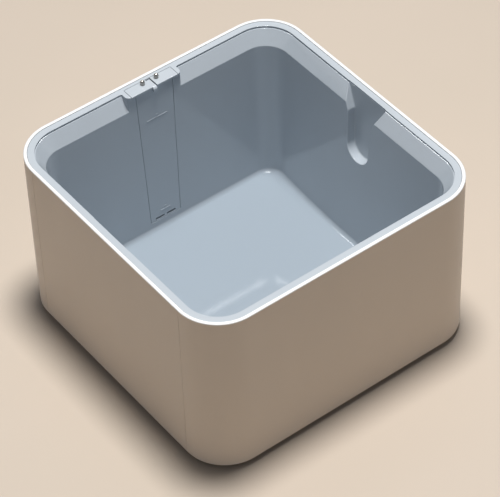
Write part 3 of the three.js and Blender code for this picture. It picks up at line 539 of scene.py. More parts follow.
# %% [markdown]
# The slots, the tab, the column under it and the probe's channel all have an outline that is offset a
# little from level to level: outwards where an edge is rounded over, inwards where a corner is filled.
# So one function moves an outline by a distance, and one stacks such outlines into a solid, either to
# join to the basin or to cut from it. A cutter flares where it leaves the surface, which leaves a clean
# rounded edge.


# %% Offset outlines
def offset_outline(outline, distance):
    """An outline moved outwards: each point p goes to p + d (n1 + n2) / (1 + n1 . n2).

    n1 and n2 are the outward normals of the sides that meet at p. The distance may differ by point.
    """
    outline = np.asarray(outline, float)
    sides = np.roll(outline, -1, axis=0) - outline
    sides /= np.linalg.norm(sides, axis=1, keepdims=True)
    x, y = outline.T
    area = np.sum(x * np.roll(y, -1) - np.roll(x, -1) * y)
    after = np.stack([sides[:, 1], -sides[:, 0]], axis=1) * math.copysign(1, area)
    before = np.roll(after, 1, axis=0)
    meet = 1 + np.sum(before * after, axis=1, keepdims=True)
    return outline + np.reshape(distance, (-1, 1)) * (before + after) / meet


def stacked(name, outline, levels, place):
    """A solid of one outline repeated: levels are (offset, depth), and place(points, depth) lays it out."""
    return solid_from_rows(name, [place(offset_outline(outline, offset), depth) for offset, depth in levels])


def arc_points(u, v, radius, start, end, steps=6):
    """Points on an arc about (u, v), from one angle to another in degrees, ends included."""
    angle = np.radians(np.linspace(start, end, steps + 1))
    return [tuple(p) for p in np.stack([u + radius * np.cos(angle), v + radius * np.sin(angle)], axis=-1)]


def rounded_rectangle(u, v, radius, steps=4):
    """The outline of a rectangle from u[0] to u[1] by v[0] to v[1], with round corners."""
    (u0, u1), (v0, v1), r = u, v, radius
    return [
        *arc_points(u1 - r, v1 - r, r, 0, 90, steps), *arc_points(u0 + r, v1 - r, r, 90, 180, steps),
        *arc_points(u0 + r, v0 + r, r, 180, 270, steps), *arc_points(u1 - r, v0 + r, r, 270, 360, steps),
    ]


def finely(outline, spacing):
    """An outline with points added, so that none of its sides is longer than the spacing."""
    outline = np.asarray(outline, float)
    following = np.roll(outline, -1, axis=0)
    counts = np.maximum(1, np.ceil(np.linalg.norm(following - outline, axis=1) / spacing).astype(int))
    return np.concatenate([
        a + (b - a) * (np.arange(n) / n)[:, None] for a, b, n in zip(outline, following, counts)
    ])


def around(middle, half):
    """The two ends of a stretch, from its middle and half its length."""
    return middle - half, middle + half


def rounded_over(steps):
    """Levels (offset, depth) of a cutter that rounds an edge over by a radius of 1.

    After a flare in the air comes the arc: offset 1 - sin a, depth 1 - cos a, a from 15 to 90 degrees.
    """
    angle = np.radians(np.linspace(15, 90, steps + 1))
    offset, depth = 1 - np.sin(angle), 1 - np.cos(angle)
    depth = depth - depth[0] - 0.01
    return [(offset[0] + 1.8, -5.0), *zip(offset, depth)]


# %% [markdown]
# The back wall leans a little. Its face is a plane, and the column and the probe both end in it, so a
# piece on that wall is laid out by its place along the wall, its drop, and its depth behind the plane.

# %% Places on the back wall
BACK_SLOPE = (BACK_FLOOR_INSET - BAND_FOOT_INSET) / (FLOOR_DROP - BAND_FOOT_DROP)
PLATE_BACK_INSET = HALF - cover_high.y
PLATE_HALF = cover_high.x
PLATE_FLOOR_DROP = 2.7
TAB_HALF = PLATE_HALF + 4.3
TAB_FRONT_INSET = 18.3
TAB_CORNER = 4.6
TAB_ROOT_FILLET = 1.2
STRIP_TOP_HALF = 19.1
STRIP_FOOT_HALF = 15.7
STRIP_FOOT_DROP = RIM_Z - cover_low.z


def back_face_inset(drop):
    """How far in the back wall's plane is at a drop."""
    return BAND_FOOT_INSET + BACK_SLOPE * (np.asarray(drop, float) - BAND_FOOT_DROP)


def on_plan(points, drop):
    """Points (x, inset) at one drop."""
    x, inset = points.T
    return np.stack([x, HALF - inset, RIM_Z - drop + 0 * x], axis=-1)


def under_ledge(points, depth):
    """Points (x, inset) at a depth under the ledge."""
    return on_plan(points, LEDGE_DROP + depth)


def behind_back_wall(points, depth):
    """Points (x, drop) at a depth behind the back wall's plane."""
    x, drop = points.T
    return np.stack([x, HALF - back_face_inset(drop) + depth, RIM_Z - drop], axis=-1)


def across_back_wall(points, x):
    """Points (inset, drop) of an upright profile at one place along the back wall."""
    inset, drop = points.T
    return np.stack([x + 0 * inset, HALF - inset, RIM_Z - drop], axis=-1)


def strip_outline(top_drop, offset):
    """The probe strip's tapered outline, grown at its sides and foot by an offset."""
    slope = (STRIP_TOP_HALF - STRIP_FOOT_HALF) / (STRIP_FOOT_DROP - LEDGE_DROP)
    foot_drop = STRIP_FOOT_DROP + offset
    top, foot = (STRIP_TOP_HALF - slope * (drop - LEDGE_DROP) + offset for drop in (top_drop, foot_drop))
    return np.array([(-top, top_drop), (top, top_drop), (foot, foot_drop), (-foot, foot_drop)])


# %% [markdown]
# On each side wall a slot takes the end of a shaft. It is wide at the band, narrows like a funnel, runs
# down as a slightly tapered channel and ends in a round foot. Its back face is nearly upright, so it is
# deep below and runs out to nothing at the top of the band. The rounding of its edge can't be deeper
# than the slot, so the radius is worked out point by point.

# %% Shaft slots
SLOT_FOOT_RADIUS = 13.5
SLOT_THROAT = 15.2
SLOT_MOUTH = 24.0
SLOT_THROAT_DROP = 23.8
SLOT_CENTRE_DROP = 57.0
SLOT_BACK_TOP_INSET = 8.8
SLOT_BACK_LEAN = 0.045
SLOT_EDGE = 0.8
SLOT_BACK_FILLET = 1.2

inside = inside_levels()
wall_order = np.argsort(inside[:-1, 2])
wall_drops, wall_insets = inside[wall_order, 2], inside[wall_order, 0]


def slot_outline(grow, top_drop):
    """The slot's outline (y, drop): a funnel, a tapered channel and a round foot, grown by a distance."""
    foot = arc_points(0, SLOT_CENTRE_DROP, SLOT_FOOT_RADIUS + grow, 0, 180, 48)
    mouth, throat = SLOT_MOUTH + grow, SLOT_THROAT + grow
    upper = [(throat, SLOT_THROAT_DROP + grow / 2), (mouth, BAND_TOP_DROP + grow / 2), (mouth, top_drop)]
    return finely([*[(-y, drop) for y, drop in upper], *[(y, drop) for y, drop in upper[::-1]], *foot], 0.8)


def wall_inset(points):
    """The inset of a side wall at points (y, drop)."""
    y, drop = points.T
    return np.interp(drop, wall_drops, wall_insets) + bow(y, drop)


def slot_back_inset(drop):
    """The inset of the slot's back face at a drop."""
    return SLOT_BACK_TOP_INSET + SLOT_BACK_LEAN * (drop - BAND_TOP_DROP)


def on_side_wall(side, points, inset):
    """Points (y, drop) at an inset from the +X wall (side 1) or the -X wall (side -1)."""
    y, drop = points.T
    return np.stack([side * (HALF - inset + 0 * y), y, RIM_Z - drop], axis=-1)


def slot_cutter(side):
    """The slot as a cutter: rounded over at the basin's wall, filleted at its back face."""
    outline = slot_outline(0, -5.0)
    depth = wall_inset(outline) - slot_back_inset(outline[:, 1])
    edge = np.clip(0.4 * depth, 0.0, SLOT_EDGE)
    fillet = np.clip(0.4 * depth, 0.0, SLOT_BACK_FILLET)
    rows = []
    for part, down in rounded_over(5):
        grow = np.where(down < -1, edge + 1.8, part * edge)
        points = offset_outline(outline, grow)
        wall = np.maximum(wall_inset(points), slot_back_inset(points[:, 1]))
        rows.append(on_side_wall(side, points, wall - (down if down < 0 else down * edge)))
    for angle in np.radians(np.linspace(0, 90, 6)):
        points = offset_outline(outline, -fillet * (1 - math.cos(angle)) - 0.001)
        inset = slot_back_inset(points[:, 1]) + fillet * (1 - math.sin(angle))
        rows.append(on_side_wall(side, points, inset))
    return solid_from_rows("slot", rows)


def slot_housing(side):
    """The wall round a slot, as it stands out behind the basin."""
    outline = slot_outline(BASIN_WALL, LEDGE_DROP + BASIN_WALL - 0.5)
    front = SIDE_FLOOR_INSET + 5
    back = slot_back_inset(outline[:, 1]) - BASIN_WALL
    rows = [on_side_wall(side, offset_outline(outline, -grow), inset)
            for grow, inset in ((0, front), (0, back + 0.6), (0.6, back))]
    return solid_from_rows("slot_housing", rows)


# %% [markdown]
# The tab is the ledge widened inwards to carry the probe's plate, and the column under it fills the band
# so that the probe stands in one flat face. The probe's channel, the pocket for its plate and the little
# pocket under the contacts are cut last, with narrow chamfers along the seams that show from above.

# %% Tab, column and channel
CHANNEL_DEPTH = 6.7
NUT_POCKET_HALF = 10.35
NUT_POCKET_BACK = 7.05
NUT_POCKET_FOOT = 6.6


def tab_outline():
    """The tab's outline (x, inset), with round front corners and a fillet where it leaves the ledge."""
    centre, root = TAB_FRONT_INSET - TAB_CORNER, TAB_HALF + TAB_ROOT_FILLET
    start, fillet = LEDGE_INSET - 2.0, LEDGE_INSET + TAB_ROOT_FILLET + 0.1
    return [
        (-root, start), *arc_points(-root, fillet, TAB_ROOT_FILLET, -90, 0, 5),
        *arc_points(-TAB_HALF + TAB_CORNER, centre, TAB_CORNER, 180, 90, 12),
        *arc_points(TAB_HALF - TAB_CORNER, centre, TAB_CORNER, 90, 0, 12),
        *arc_points(root, fillet, TAB_ROOT_FILLET, 180, 270, 5), (root, start),
    ]


def tab():
    """The tab: its upper edge has the ledge's own rounding, and its lower edge a smaller one."""
    top, foot, r = LEDGE_DROP - 0.01, PLATE_FLOOR_DROP + 0.31, EDGE_ROUNDING
    upper = [(-r * (1 - math.sin(a)), top + r * (1 - math.cos(a))) for a in np.radians([0, 22, 45, 67, 90])]
    return stacked("tab", tab_outline(), [*upper, (0, foot - 0.3), (-0.3, foot)], on_plan)


def column():
    """The column: the tab's outline down to below the band, cut off in front at the back wall's plane."""
    foot = BAND_FOOT_DROP + BASIN_WALL
    filled = stacked("column", tab_outline(), [(-0.02, 1.6), (-0.02, foot)], on_plan)
    outline = np.array([(-60, -5), (60, -5), (60, foot + 5), (-60, foot + 5)], float)
    front = stacked("front", outline, [(0, -14.0), (0, -0.01)], behind_back_wall)
    lean = (BAND_FOOT_INSET - BAND_TOP_INSET) / (BAND_FOOT_DROP - BAND_TOP_DROP)
    top, low = BAND_TOP_DROP + BASIN_WALL, BAND_FOOT_DROP + 2 * BASIN_WALL
    behind = BAND_TOP_INSET - BASIN_WALL
    under = np.array([
        (behind - 6, top), (behind, top), (behind + lean * (low - top), low), (behind - 6, low)])
    room = stacked("room", under, [(0, -60), (0, 60)], across_back_wall)
    return cut(filled, front, room)


def seam_cutter(name, outline, depth, place):
    """A cutter with a narrow chamfer at the surface and straight sides down to a depth."""
    edge = SEAM_CHAMFER
    return stacked(name, outline, [(edge + 1.5, -5.0), (edge, -0.01), (0, edge), (0, depth)], place)


def back_block(name, half, insets, drops, shrink=0.0):
    """A block on the back wall: its half width, its two insets and its two drops."""
    outline = rounded_rectangle((-half, half), insets, 0.8)
    return stacked(name, outline, [(0, drops[0]), (0, drops[1] - shrink), (-shrink, drops[1])], on_plan)


housings = [slot_housing(side) for side in signs]
housings.append(stacked(
    "channel_housing", strip_outline(LEDGE_DROP + 0.6, SEAM + BASIN_WALL),
    [(0, -5.0), (0, CHANNEL_DEPTH + BASIN_WALL - 0.6), (-0.6, CHANNEL_DEPTH + BASIN_WALL)], behind_back_wall,
))
housings.append(back_block(
    "nut_housing", NUT_POCKET_HALF + BASIN_WALL, (NUT_POCKET_BACK - BASIN_WALL, BAND_TOP_INSET + 4),
    (LEDGE_DROP + 0.6, NUT_POCKET_FOOT + BASIN_WALL), 0.5,
))
join(basin, *housings)
cut(basin, solid_from_rows("inside", basin_rows(inside)))
say("basin walls", basin)

join(basin, column(), tab())
cut(basin, *[slot_cutter(side) for side in signs])
say("with tab and slots", basin)

plate_seam = rounded_rectangle(
    (-PLATE_HALF - SEAM, PLATE_HALF + SEAM), (PLATE_BACK_INSET - SEAM, TAB_FRONT_INSET + 9), 0.5)
strip_seam = strip_outline(LEDGE_DROP - 0.1, SEAM)
nut_insets = (NUT_POCKET_BACK, BAND_TOP_INSET + 5)
cut(
    basin,
    seam_cutter("plate_pocket", plate_seam, PLATE_FLOOR_DROP + SEAM - LEDGE_DROP, under_ledge),
    seam_cutter("channel", strip_seam, CHANNEL_DEPTH, behind_back_wall),
    back_block("nut_pocket", NUT_POCKET_HALF, nut_insets, (-1, NUT_POCKET_FOOT)),
)
say("basin", basin)

# %% [markdown]
# The level probe is one plastic cover: a level plate that lies in the tab, and a tapered strip that
# stands in the back wall. Both are shells in the real moulding, so the strip is hollow behind, where a
# dark carrier holds the two steel electrodes. Its edges are rounded a little more than the seam's, which
# gives the fine shadow line round it.

# %% Probe plate and strip
CARRIER_BACK = 6.2
CONTACT_X = (contact_low.x + contact_high.x) / 2
CONTACT_Y = (contact_low.y + contact_high.y) / 2


def node_middle(node):
    """The middle (x, y, z) of a CAD node's box, in millimetres."""
    return [(low + high) / 2 / MM for low, high in zip(*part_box(node))]


SCREW_DROPS = [RIM_Z - node_middle(f"probe_screw_{k}")[2] for k in (1, 2)]


def strip_bar(name, drop, radius, near, far):
    """A round bar through the strip, square to the back wall's plane, between two depths."""
    outline = arc_points(0, drop, radius, 0, 360, 32)[:-1]
    return stacked(name, outline, [(0, near), (0, far)], behind_back_wall)


plate = stacked(
    "level_probe", rounded_rectangle((-PLATE_HALF, PLATE_HALF), (PLATE_BACK_INSET, TAB_FRONT_INSET), 0.4),
    [(-0.25, 0), (-0.1, 0.05), (0, 0.25), (0, 2.0), (-0.2, 2.2)], under_ledge,
)
strip = stacked(
    "strip", strip_outline(LEDGE_DROP + 1.1, 0),
    [(-0.22, 0), (-0.07, 0.05), (0, 0.22), (0, CARRIER_BACK - 0.3), (-0.3, CARRIER_BACK)], behind_back_wall,
)
room = strip_outline(PLATE_FLOOR_DROP, -STRIP_WALL)
hollow = stacked("hollow", room, [(0, STRIP_WALL), (0, CARRIER_BACK + 5)], behind_back_wall)
probe = join(plate, cut(strip, hollow))
say("probe", probe)

# %% [markdown]
# A narrow notch in the plate frees a finger that bends over the tab's front edge and snaps the probe in
# place. It is a profile drawn from the side, with a round bend, carried across the finger's width.

# %% Notch and latch finger
NOTCH_HALF = 2.4
FINGER_HALF = 2.0
FINGER_SHIFT = -0.25
FINGER_TOP_DROP = 1.3
FINGER_FOOT_DROP = 6.4
FINGER_THICKNESS = 1.6
FINGER_BEND = 2.4
FINGER_FRONT = TAB_FRONT_INSET + 1.3

notch = rounded_rectangle((-NOTCH_HALF, NOTCH_HALF), (PLATE_BACK_INSET + SEAM, TAB_FRONT_INSET + 6), 0.5)
cut(probe, stacked("notch", notch, [(1.6, -4), (0.12, 0.49), (0, 0.62), (0, PLATE_FLOOR_DROP)], on_plan))

strip_face = float(back_face_inset(FINGER_FOOT_DROP))
finger_profile = np.array([
    (PLATE_BACK_INSET + 0.9, FINGER_TOP_DROP),
    *arc_points(FINGER_FRONT - FINGER_BEND, FINGER_TOP_DROP + FINGER_BEND, FINGER_BEND, -90, 0, 12),
    *arc_points(FINGER_FRONT - 1.0, FINGER_FOOT_DROP - 1.1, 1.0, 0, 60, 5),
    (strip_face, FINGER_FOOT_DROP), (strip_face - STRIP_WALL, FINGER_FOOT_DROP),
    (strip_face - STRIP_WALL, FINGER_TOP_DROP + FINGER_THICKNESS),
    (PLATE_BACK_INSET + 0.9, FINGER_TOP_DROP + FINGER_THICKNESS),
])
finger_levels = [(-0.3, -FINGER_HALF), (-0.09, 0.09 - FINGER_HALF), (0, 0.3 - FINGER_HALF)]
finger_levels += [(offset, -depth) for offset, depth in finger_levels[::-1]]
finger_levels = [(offset, x + FINGER_SHIFT) for offset, x in finger_levels]
join(probe, stacked("finger", finger_profile, finger_levels, across_back_wall))
say("with the finger", probe)

# %% [markdown]
# Near the strip's foot two slots let liquid reach the electrodes. Two raised lines mark the highest and
# the lowest level, each with a small triangle over it that points down to it. Behind the strip stand
# two bosses for the screws, and round each contact is a shallow recess with the hole for its shank.

# %% Openings and marks of the probe
SENSE_SLOT_X = 5.95
SENSE_SLOT_HALF = (4.7, 0.95)
SENSE_SLOT_DROP = STRIP_FOOT_DROP - 2.2
PROBE_BOSS_RADIUS = 2.2
PROBE_BORE_RADIUS = 1.3
MARK_HEIGHT = 0.35
MARK_HALF_WIDTH = 0.4
LEVEL_MARKS = ((36.0, 10.8), (142.0, 5.5))


def raised(name, outline):
    """A raised figure on the strip's face, with sloping edges."""
    levels = [(0, 0.3), (0, 0), (-0.12, -0.8 * MARK_HEIGHT), (-0.22, -MARK_HEIGHT)]
    return stacked(name, outline, levels, behind_back_wall)


for drop in SCREW_DROPS:
    boss = strip_bar("boss", drop, PROBE_BOSS_RADIUS, STRIP_WALL / 2, CARRIER_BACK - 2.05)
    bore = strip_bar("bore", drop, PROBE_BORE_RADIUS, STRIP_WALL + SEAM, CARRIER_BACK + 5)
    join(probe, cut(boss, bore))

for sign in signs:
    half_x, half_z = SENSE_SLOT_HALF
    opening = rounded_rectangle(
        around(sign * SENSE_SLOT_X, half_x), around(SENSE_SLOT_DROP, half_z), 0.3)
    cut(probe, seam_cutter("sense_slot", opening, STRIP_WALL + SEAM, behind_back_wall))
    contact_x = sign * CONTACT_X
    recess = [(0, 4), (3.9, 4), (3.2, 0.01), (3.07, -0.12), (3.07, -0.4), (1.5, -0.4), (1.5, -1.2)]
    recess += [(2.7, -1.3), (2.7, -5), (0, -5)]
    cut(probe, turned("recess", recess, contact_x, CONTACT_Y, RIM_Z - LEDGE_DROP))

for drop, half in LEVEL_MARKS:
    line = rounded_rectangle(around(0, half), around(drop, MARK_HALF_WIDTH), 0.35)
    tip = np.array([(-1.5, drop - 3.6), (1.5, drop - 3.6), (0, drop - 1.4)])
    join(probe, raised("level_line", line), raised("level_tip", tip))
say("finished probe", probe)

# %% [markdown]
# The contacts are turned steel studs: a short post with a round dome on top. A lathe profile gives them
# their true round highlights. The rubber feet are turned in the same way, and so are the screws of the
# base plate, whose heads get a cross recess.

# %% Contacts
CONTACT_POST = 2.4
CONTACT_DOME = 2.0

names = {-1: "left", 1: "right"}
contacts = {}
for sign in signs:
    radius, post, dome = (contact_high.x - contact_low.x) / 2, CONTACT_POST, CONTACT_DOME
    edge = 0.12
    shank = (contact_high.z - contact_low.z) - post - dome
    curve = [(radius * math.cos(a), post + dome * math.sin(a)) for a in np.radians(np.linspace(6, 88, 12))]
    profile = [(0, -shank), (1.0, -shank), (1.2, -shank + 0.2), (1.2, 0), (radius - edge, 0), (radius, edge)]
    piece = turned(f"contact_{names[sign]}_stud", [*profile, (radius, post), *curve, (0, post + dome)],
                   sign * CONTACT_X, CONTACT_Y, contact_low.z + shank)
    contacts[sign] = piece
    say(piece.name, piece)

# %% [markdown]
# Under the tank a dark plate closes the shell. It is held by eight screws and stands on four rubber
# feet that snap through it. All are turned or flat, so they come from the same profiles as above.

# %% Base plate, screws and feet
FOOT_INSET = 35.0
FOOT_OFFSET = HALF - FOOT_INSET
FOOT_RADIUS = 11.0
FOOT_ROUNDING = 1.5
STEM_HOLE_RADIUS = 3.1
SCREW_LENGTH = 12.0
SCREW_HEAD_HEIGHT = 1.8
CROSS_HALF_LENGTH = 1.65
CROSS_HALF_WIDTH = 0.43
foot_places = {
    "front_left": (-FOOT_OFFSET, -FOOT_OFFSET), "front_right": (FOOT_OFFSET, -FOOT_OFFSET),
    "rear_left": (-FOOT_OFFSET, FOOT_OFFSET), "rear_right": (FOOT_OFFSET, FOOT_OFFSET),
}
PLATE_INSET = SHELL_WALL + SEAM

base_levels = rounded_profile([
    (inset, inset, RIM_Z - z, SHELL_CORNER - inset, rounding)
    for inset, z, rounding in (
        (PLATE_INSET + 2, BASE_UNDERSIDE_Z, 0.0), (PLATE_INSET, BASE_UNDERSIDE_Z, 0.4),
        (PLATE_INSET, BASE_TOP_Z, 0.4), (PLATE_INSET + 2, BASE_TOP_Z, 0.0))
])
base = solid_from_rows("base", sweep_rows(base_levels, plan_columns()))


def plate_hole(place, radius):
    """A hole through the base plate, with a small chamfer at its underside."""
    low, high = BASE_UNDERSIDE_Z, BASE_TOP_Z
    profile = [(0, low - 4), (radius + 3, low - 4), (radius + 0.25, low - 0.01), (radius, low + 0.25)]
    return turned("hole", [*profile, (radius, high + 4), (0, high + 4)], *place, 0, 32)


cut(base, *[plate_hole(place, SCREW_HOLE_RADIUS) for place in screw_places])
cut(base, *[plate_hole(place, STEM_HOLE_RADIUS) for place in foot_places.values()])
say("base plate", base)


def foot(name, place):
    """A rubber foot: a rounded sole with a shallow dish, and a stem with a barb."""
    radius, top, barb = FOOT_RADIUS, BASE_UNDERSIDE_Z - SEAM, BASE_TOP_Z + SEAM / 2
    sole = arc_points(radius - FOOT_ROUNDING, FOOT_ROUNDING, FOOT_ROUNDING, -90, 0, 10)
    dish = [(0, 0.35), *arc_points(radius - 4.4, 0.6, 0.6, 200, 270, 4)]
    stem = [(radius, top - 0.3), (radius - 0.3, top), (2.8, top), (2.8, barb)]
    stem += [(3.25, barb), (3.4, barb + 0.15), (2.7, barb + 0.6), (0, barb + 0.6)]
    return turned(name, [*dish, *sole, *stem], *place, 0, 64)


def on_level(points, z):
    """Points (x, y) at one height."""
    return np.c_[points, np.full(len(points), z)]


def base_screw(name, place):
    """A pan-head screw pointing up, with a cross recess in its head."""
    top = BASE_UNDERSIDE_Z - SEAM
    low, tip = top - SCREW_HEAD_HEIGHT, top + SCREW_LENGTH
    head = [(0, low), (1.9, low), (2.35, low + 0.12), (2.75, low + 0.45), (3.0, low + 0.95)]
    shank = [(3.0, top - 0.1), (2.9, top), (1.5, top), (1.5, tip - 1.5), (0.25, tip - 0.1), (0, tip)]
    screw = turned(name, [*head, *shank], *place, 0, 32)
    x, y = place
    arms = (CROSS_HALF_LENGTH, CROSS_HALF_WIDTH)
    for half_x, half_y in (arms, arms[::-1]):
        recess = rounded_rectangle(around(x, half_x), around(y, half_y), 0.2)
        levels = [(0, low - 2), (0, low + 0.7), (-0.15, low + 1.1)]
        cut(screw, stacked("recess", recess, levels, on_level))
    return screw


feet = {node: foot(f"rubber_foot_{node}", place) for node, place in foot_places.items()}
screws = [base_screw(f"case_screw_{k}", node_middle(f"base_screw_{k}")[:2]) for k in range(1, 9)]
print(len(feet), "feet and", len(screws), "screws")

# %% [markdown]
# Each new piece stands for its CAD node and moves with that node's body, so the basin, with the probe in
# it, can be lifted out of the shell, and the probe out of the basin. Each tie also lists the slot name that
# picks the piece's material further down.

# %% Ties to the frame
ties = [
    (shell, "housing", "outer_shell", "white_plastic"),
    (base, "housing", "base_plate", "dark_plastic"),
    (basin, "basin", "basin_liner", "basin_plastic"),
    (probe, "probe", "probe_cover", "basin_plastic"),
]
ties += [(piece, "housing", f"foot_{name}", "rubber") for name, piece in feet.items()]
ties += [(piece, "housing", f"base_screw_{k}", "steel") for k, piece in enumerate(screws, 1)]
ties += [(piece, "probe", f"contact_{names[sign]}", "steel") for sign, piece in contacts.items()]
for piece, body, cad_node, slot_name in ties:
    soften(piece)
    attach(piece, body)
    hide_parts(cad_node)
print(len(ties), "pieces tied,", sum(open_edges(piece) for piece, *_ in ties), "open edges in all")

# %% [markdown]
# A moulded surface is never one flat colour: it has a very fine grain from the mould's steel, slow waves
# where thick and thin places cooled at different speeds, a little dust on whatever faces up, and faint
# marks of handling. On the basin's ledge the dust mask is painted sheen as well. Several plastics share
# these effects, so each effect is a node group with named inputs and outputs, and each material sets its
# own values. All of them read the piece's own coordinates, so a pattern stays on its piece when the piece
# is lifted out.


# %% Node helpers
VECTOR, VALUE = "NodeSocketVector", "NodeSocketFloat"
COLOUR_A, COLOUR_B, COLOUR_RESULT = 6, 7, 2


def put(tree, kind, inputs=None, **settings):
    """Adds a node. Each input is set to a value, or linked where the value is a socket."""
    made = tree.nodes.new(kind)
    for name, value in settings.items():
        setattr(made, name, value)
    for name, value in (inputs or {}).items():
        if isinstance(value, bpy.types.NodeSocket):
            tree.links.new(value, made.inputs[name])
        else:
            made.inputs[name].default_value = value
    return made


def math_node(tree, operation, a, b=0.0, c=0.0):
    """The output of one Math node, whose inputs are values or sockets."""
    return put(tree, "ShaderNodeMath", {0: a, 1: b, 2: c}, operation=operation).outputs[0]


def product(tree, first, *others):
    """Several values multiplied with each other."""
    for other in others:
        first = math_node(tree, "MULTIPLY", first, other)
    return first


def scaled(tree, place, scales):
    """A place with each axis multiplied by its own scale."""
    inputs = {0: place, 1: scales}
    return put(tree, "ShaderNodeVectorMath", inputs, operation="MULTIPLY").outputs["Vector"]


def z_of(tree, vector):
    """The third coordinate of a vector."""
    return put(tree, "ShaderNodeSeparateXYZ", {0: vector}).outputs["Z"]


def noise(tree, place, scale, detail=2.0, roughness=0.5):
    """The value of a noise texture at a place, with its scale in turns a metre."""
    inputs = {"Vector": place, "Scale": scale, "Detail": detail, "Roughness": roughness}
    return put(tree, "ShaderNodeTexNoise", inputs).outputs["Fac"]


def spread(tree, value, low, high, new_low=0.0, new_high=1.0):
    """A value mapped from one range to another, smoothly and never beyond it."""
    inputs = {"Value": value, "From Min": low, "From Max": high, "To Min": new_low, "To Max": new_high}
    return put(tree, "ShaderNodeMapRange", inputs, interpolation_type="SMOOTHSTEP").outputs["Result"]


def blended(tree, share, first, second):
    """A colour between two, by a share from 0 to 1. Each is a colour or a socket."""
    inputs = {"Factor": share}
    for slot, colour in ((COLOUR_A, first), (COLOUR_B, second)):
        inputs[slot] = colour if isinstance(colour, bpy.types.NodeSocket) else (*colour, 1)
    return put(tree, "ShaderNodeMix", inputs, data_type="RGBA").outputs[COLOUR_RESULT]


def new_group(name, inputs, outputs):
    """An empty node group: inputs and outputs are (name, socket type, default) and (name, socket type)."""
    tree = bpy.data.node_groups.new(name, "ShaderNodeTree")
    for socket_name, kind, default in inputs:
        socket = tree.interface.new_socket(name=socket_name, in_out="INPUT", socket_type=kind)
        if default is not None:
            socket.default_value = default
    for socket_name, kind in outputs:
        tree.interface.new_socket(name=socket_name, in_out="OUTPUT", socket_type=kind)
    return tree, tree.nodes.new("NodeGroupInput").outputs, tree.nodes.new("NodeGroupOutput").inputs


# %% [markdown]
# Moulded plastic takes the texture of its mould: a grain finer than a millimetre over waves some
# centimetres long. The group gives both as one height, and a slow tone that shifts the colour a little.

# %% Moulded grain
grain_tree, given, result = new_group(
    "moulded_grain",
    [("Place", VECTOR, None), ("Grain", VALUE, 2500.0), ("Waves", VALUE, 14.0), ("Grain Share", VALUE, 0.4)],
    [("Height", VALUE), ("Tone", VALUE)],
)
fine = noise(grain_tree, given["Place"], given["Grain"], 2.0, 0.6)
slow = noise(grain_tree, given["Place"], given["Waves"], 1.0)
height = put(grain_tree, "ShaderNodeMix", {"Factor": given["Grain Share"], "A": slow, "B": fine})
grain_tree.links.new(height.outputs["Result"], result["Height"])
streaks = noise(grain_tree, scaled(grain_tree, given["Place"], (9.0, 9.0, 4.0)), 1.0, 3.0, 0.55)
speckle = math_node(grain_tree, "MULTIPLY_ADD", fine, 0.35, streaks)
grain_tree.links.new(spread(grain_tree, speckle, 0.45, 0.9), result["Tone"])
print("group", grain_tree.name, "with", len(grain_tree.nodes), "nodes")

# %% [markdown]
# Dust settles on what faces up. It lies in soft clouds with a few specks. The group has a lowest level,
# under which it adds nothing; on the basin that keeps the pale mask to the ledge, where it is painted
# sheen as well as dust.

# %% Settled dust and painted sheen
dust_and_sheen_tree, given, result = new_group(
    "dust_and_painted_sheen",
    [("Place", VECTOR, None), ("Amount", VALUE, 0.5), ("Lowest", VALUE, -1.0)],
    [("Mask", VALUE)],
)
normal = put(dust_and_sheen_tree, "ShaderNodeNewGeometry").outputs["Normal"]
up_faces = spread(dust_and_sheen_tree, z_of(dust_and_sheen_tree, normal), 0.55, 0.98)
clouds = spread(dust_and_sheen_tree, noise(dust_and_sheen_tree, given["Place"], 22.0, 4.0, 0.6), 0.3, 0.75, 0.7, 1.0)
specks = spread(dust_and_sheen_tree, noise(dust_and_sheen_tree, given["Place"], 1400.0, 1.0), 0.62, 0.74)
dust_and_sheen = math_node(dust_and_sheen_tree, "MULTIPLY_ADD", specks, 0.6, clouds)
above_lowest = math_node(dust_and_sheen_tree, "GREATER_THAN", z_of(dust_and_sheen_tree, given["Place"]), given["Lowest"])
masked = product(dust_and_sheen_tree, dust_and_sheen, product(dust_and_sheen_tree, up_faces, above_lowest), given["Amount"])
dust_and_sheen_tree.links.new(masked, result["Mask"])
print("group", dust_and_sheen_tree.name, "with", len(dust_and_sheen_tree.nodes), "nodes")

# %% [markdown]
# Hands leave smudges, which are patches broken up by a finer pattern, and use leaves sparse hairline
# scratches. The scratches are noise stretched along one slanting direction, cut to its highest parts.

# %% Handling marks
handling_tree, given, result = new_group(
    "handling_marks",
    [("Place", VECTOR, None), ("Amount", VALUE, 0.5)],
    [("Smudge", VALUE), ("Scratch", VALUE)],
)
patches = spread(handling_tree, noise(handling_tree, given["Place"], 17.0, 3.0, 0.6), 0.48, 0.68)
fingers = spread(handling_tree, noise(handling_tree, given["Place"], 90.0, 2.0, 0.5), 0.35, 0.7, 0.4, 1.0)
handling_tree.links.new(product(handling_tree, patches, fingers, given["Amount"]), result["Smudge"])
slant = {"Vector": given["Place"], "Rotation": (0.5, 0.35, 0.8)}
slanted = put(handling_tree, "ShaderNodeMapping", slant).outputs["Vector"]
drawn_out = scaled(handling_tree, slanted, (900.0, 26.0, 60.0))
lines = spread(handling_tree, noise(handling_tree, drawn_out, 1.0, 1.0), 0.71, 0.78)
sparse = spread(handling_tree, noise(handling_tree, given["Place"], 11.0, 1.0), 0.52, 0.66)
handling_tree.links.new(product(handling_tree, lines, sparse, given["Amount"]), result["Scratch"])
print("group", handling_tree.name, "with", len(handling_tree.nodes), "nodes")

# %% [markdown]
# The plastics are built by one function. The grain goes into the normal as a bump and shifts the colour
# by a trace. Smudges change only the gloss. Dust lightens and dulls what faces up, and on the basin's
# ledge that lighter colour is painted sheen as well as dust. The white shell is satin, while the basin is
# smoother and mirrors its own bright floor low on the walls. The basin's floor is painted slightly darker,
# as painted shade.

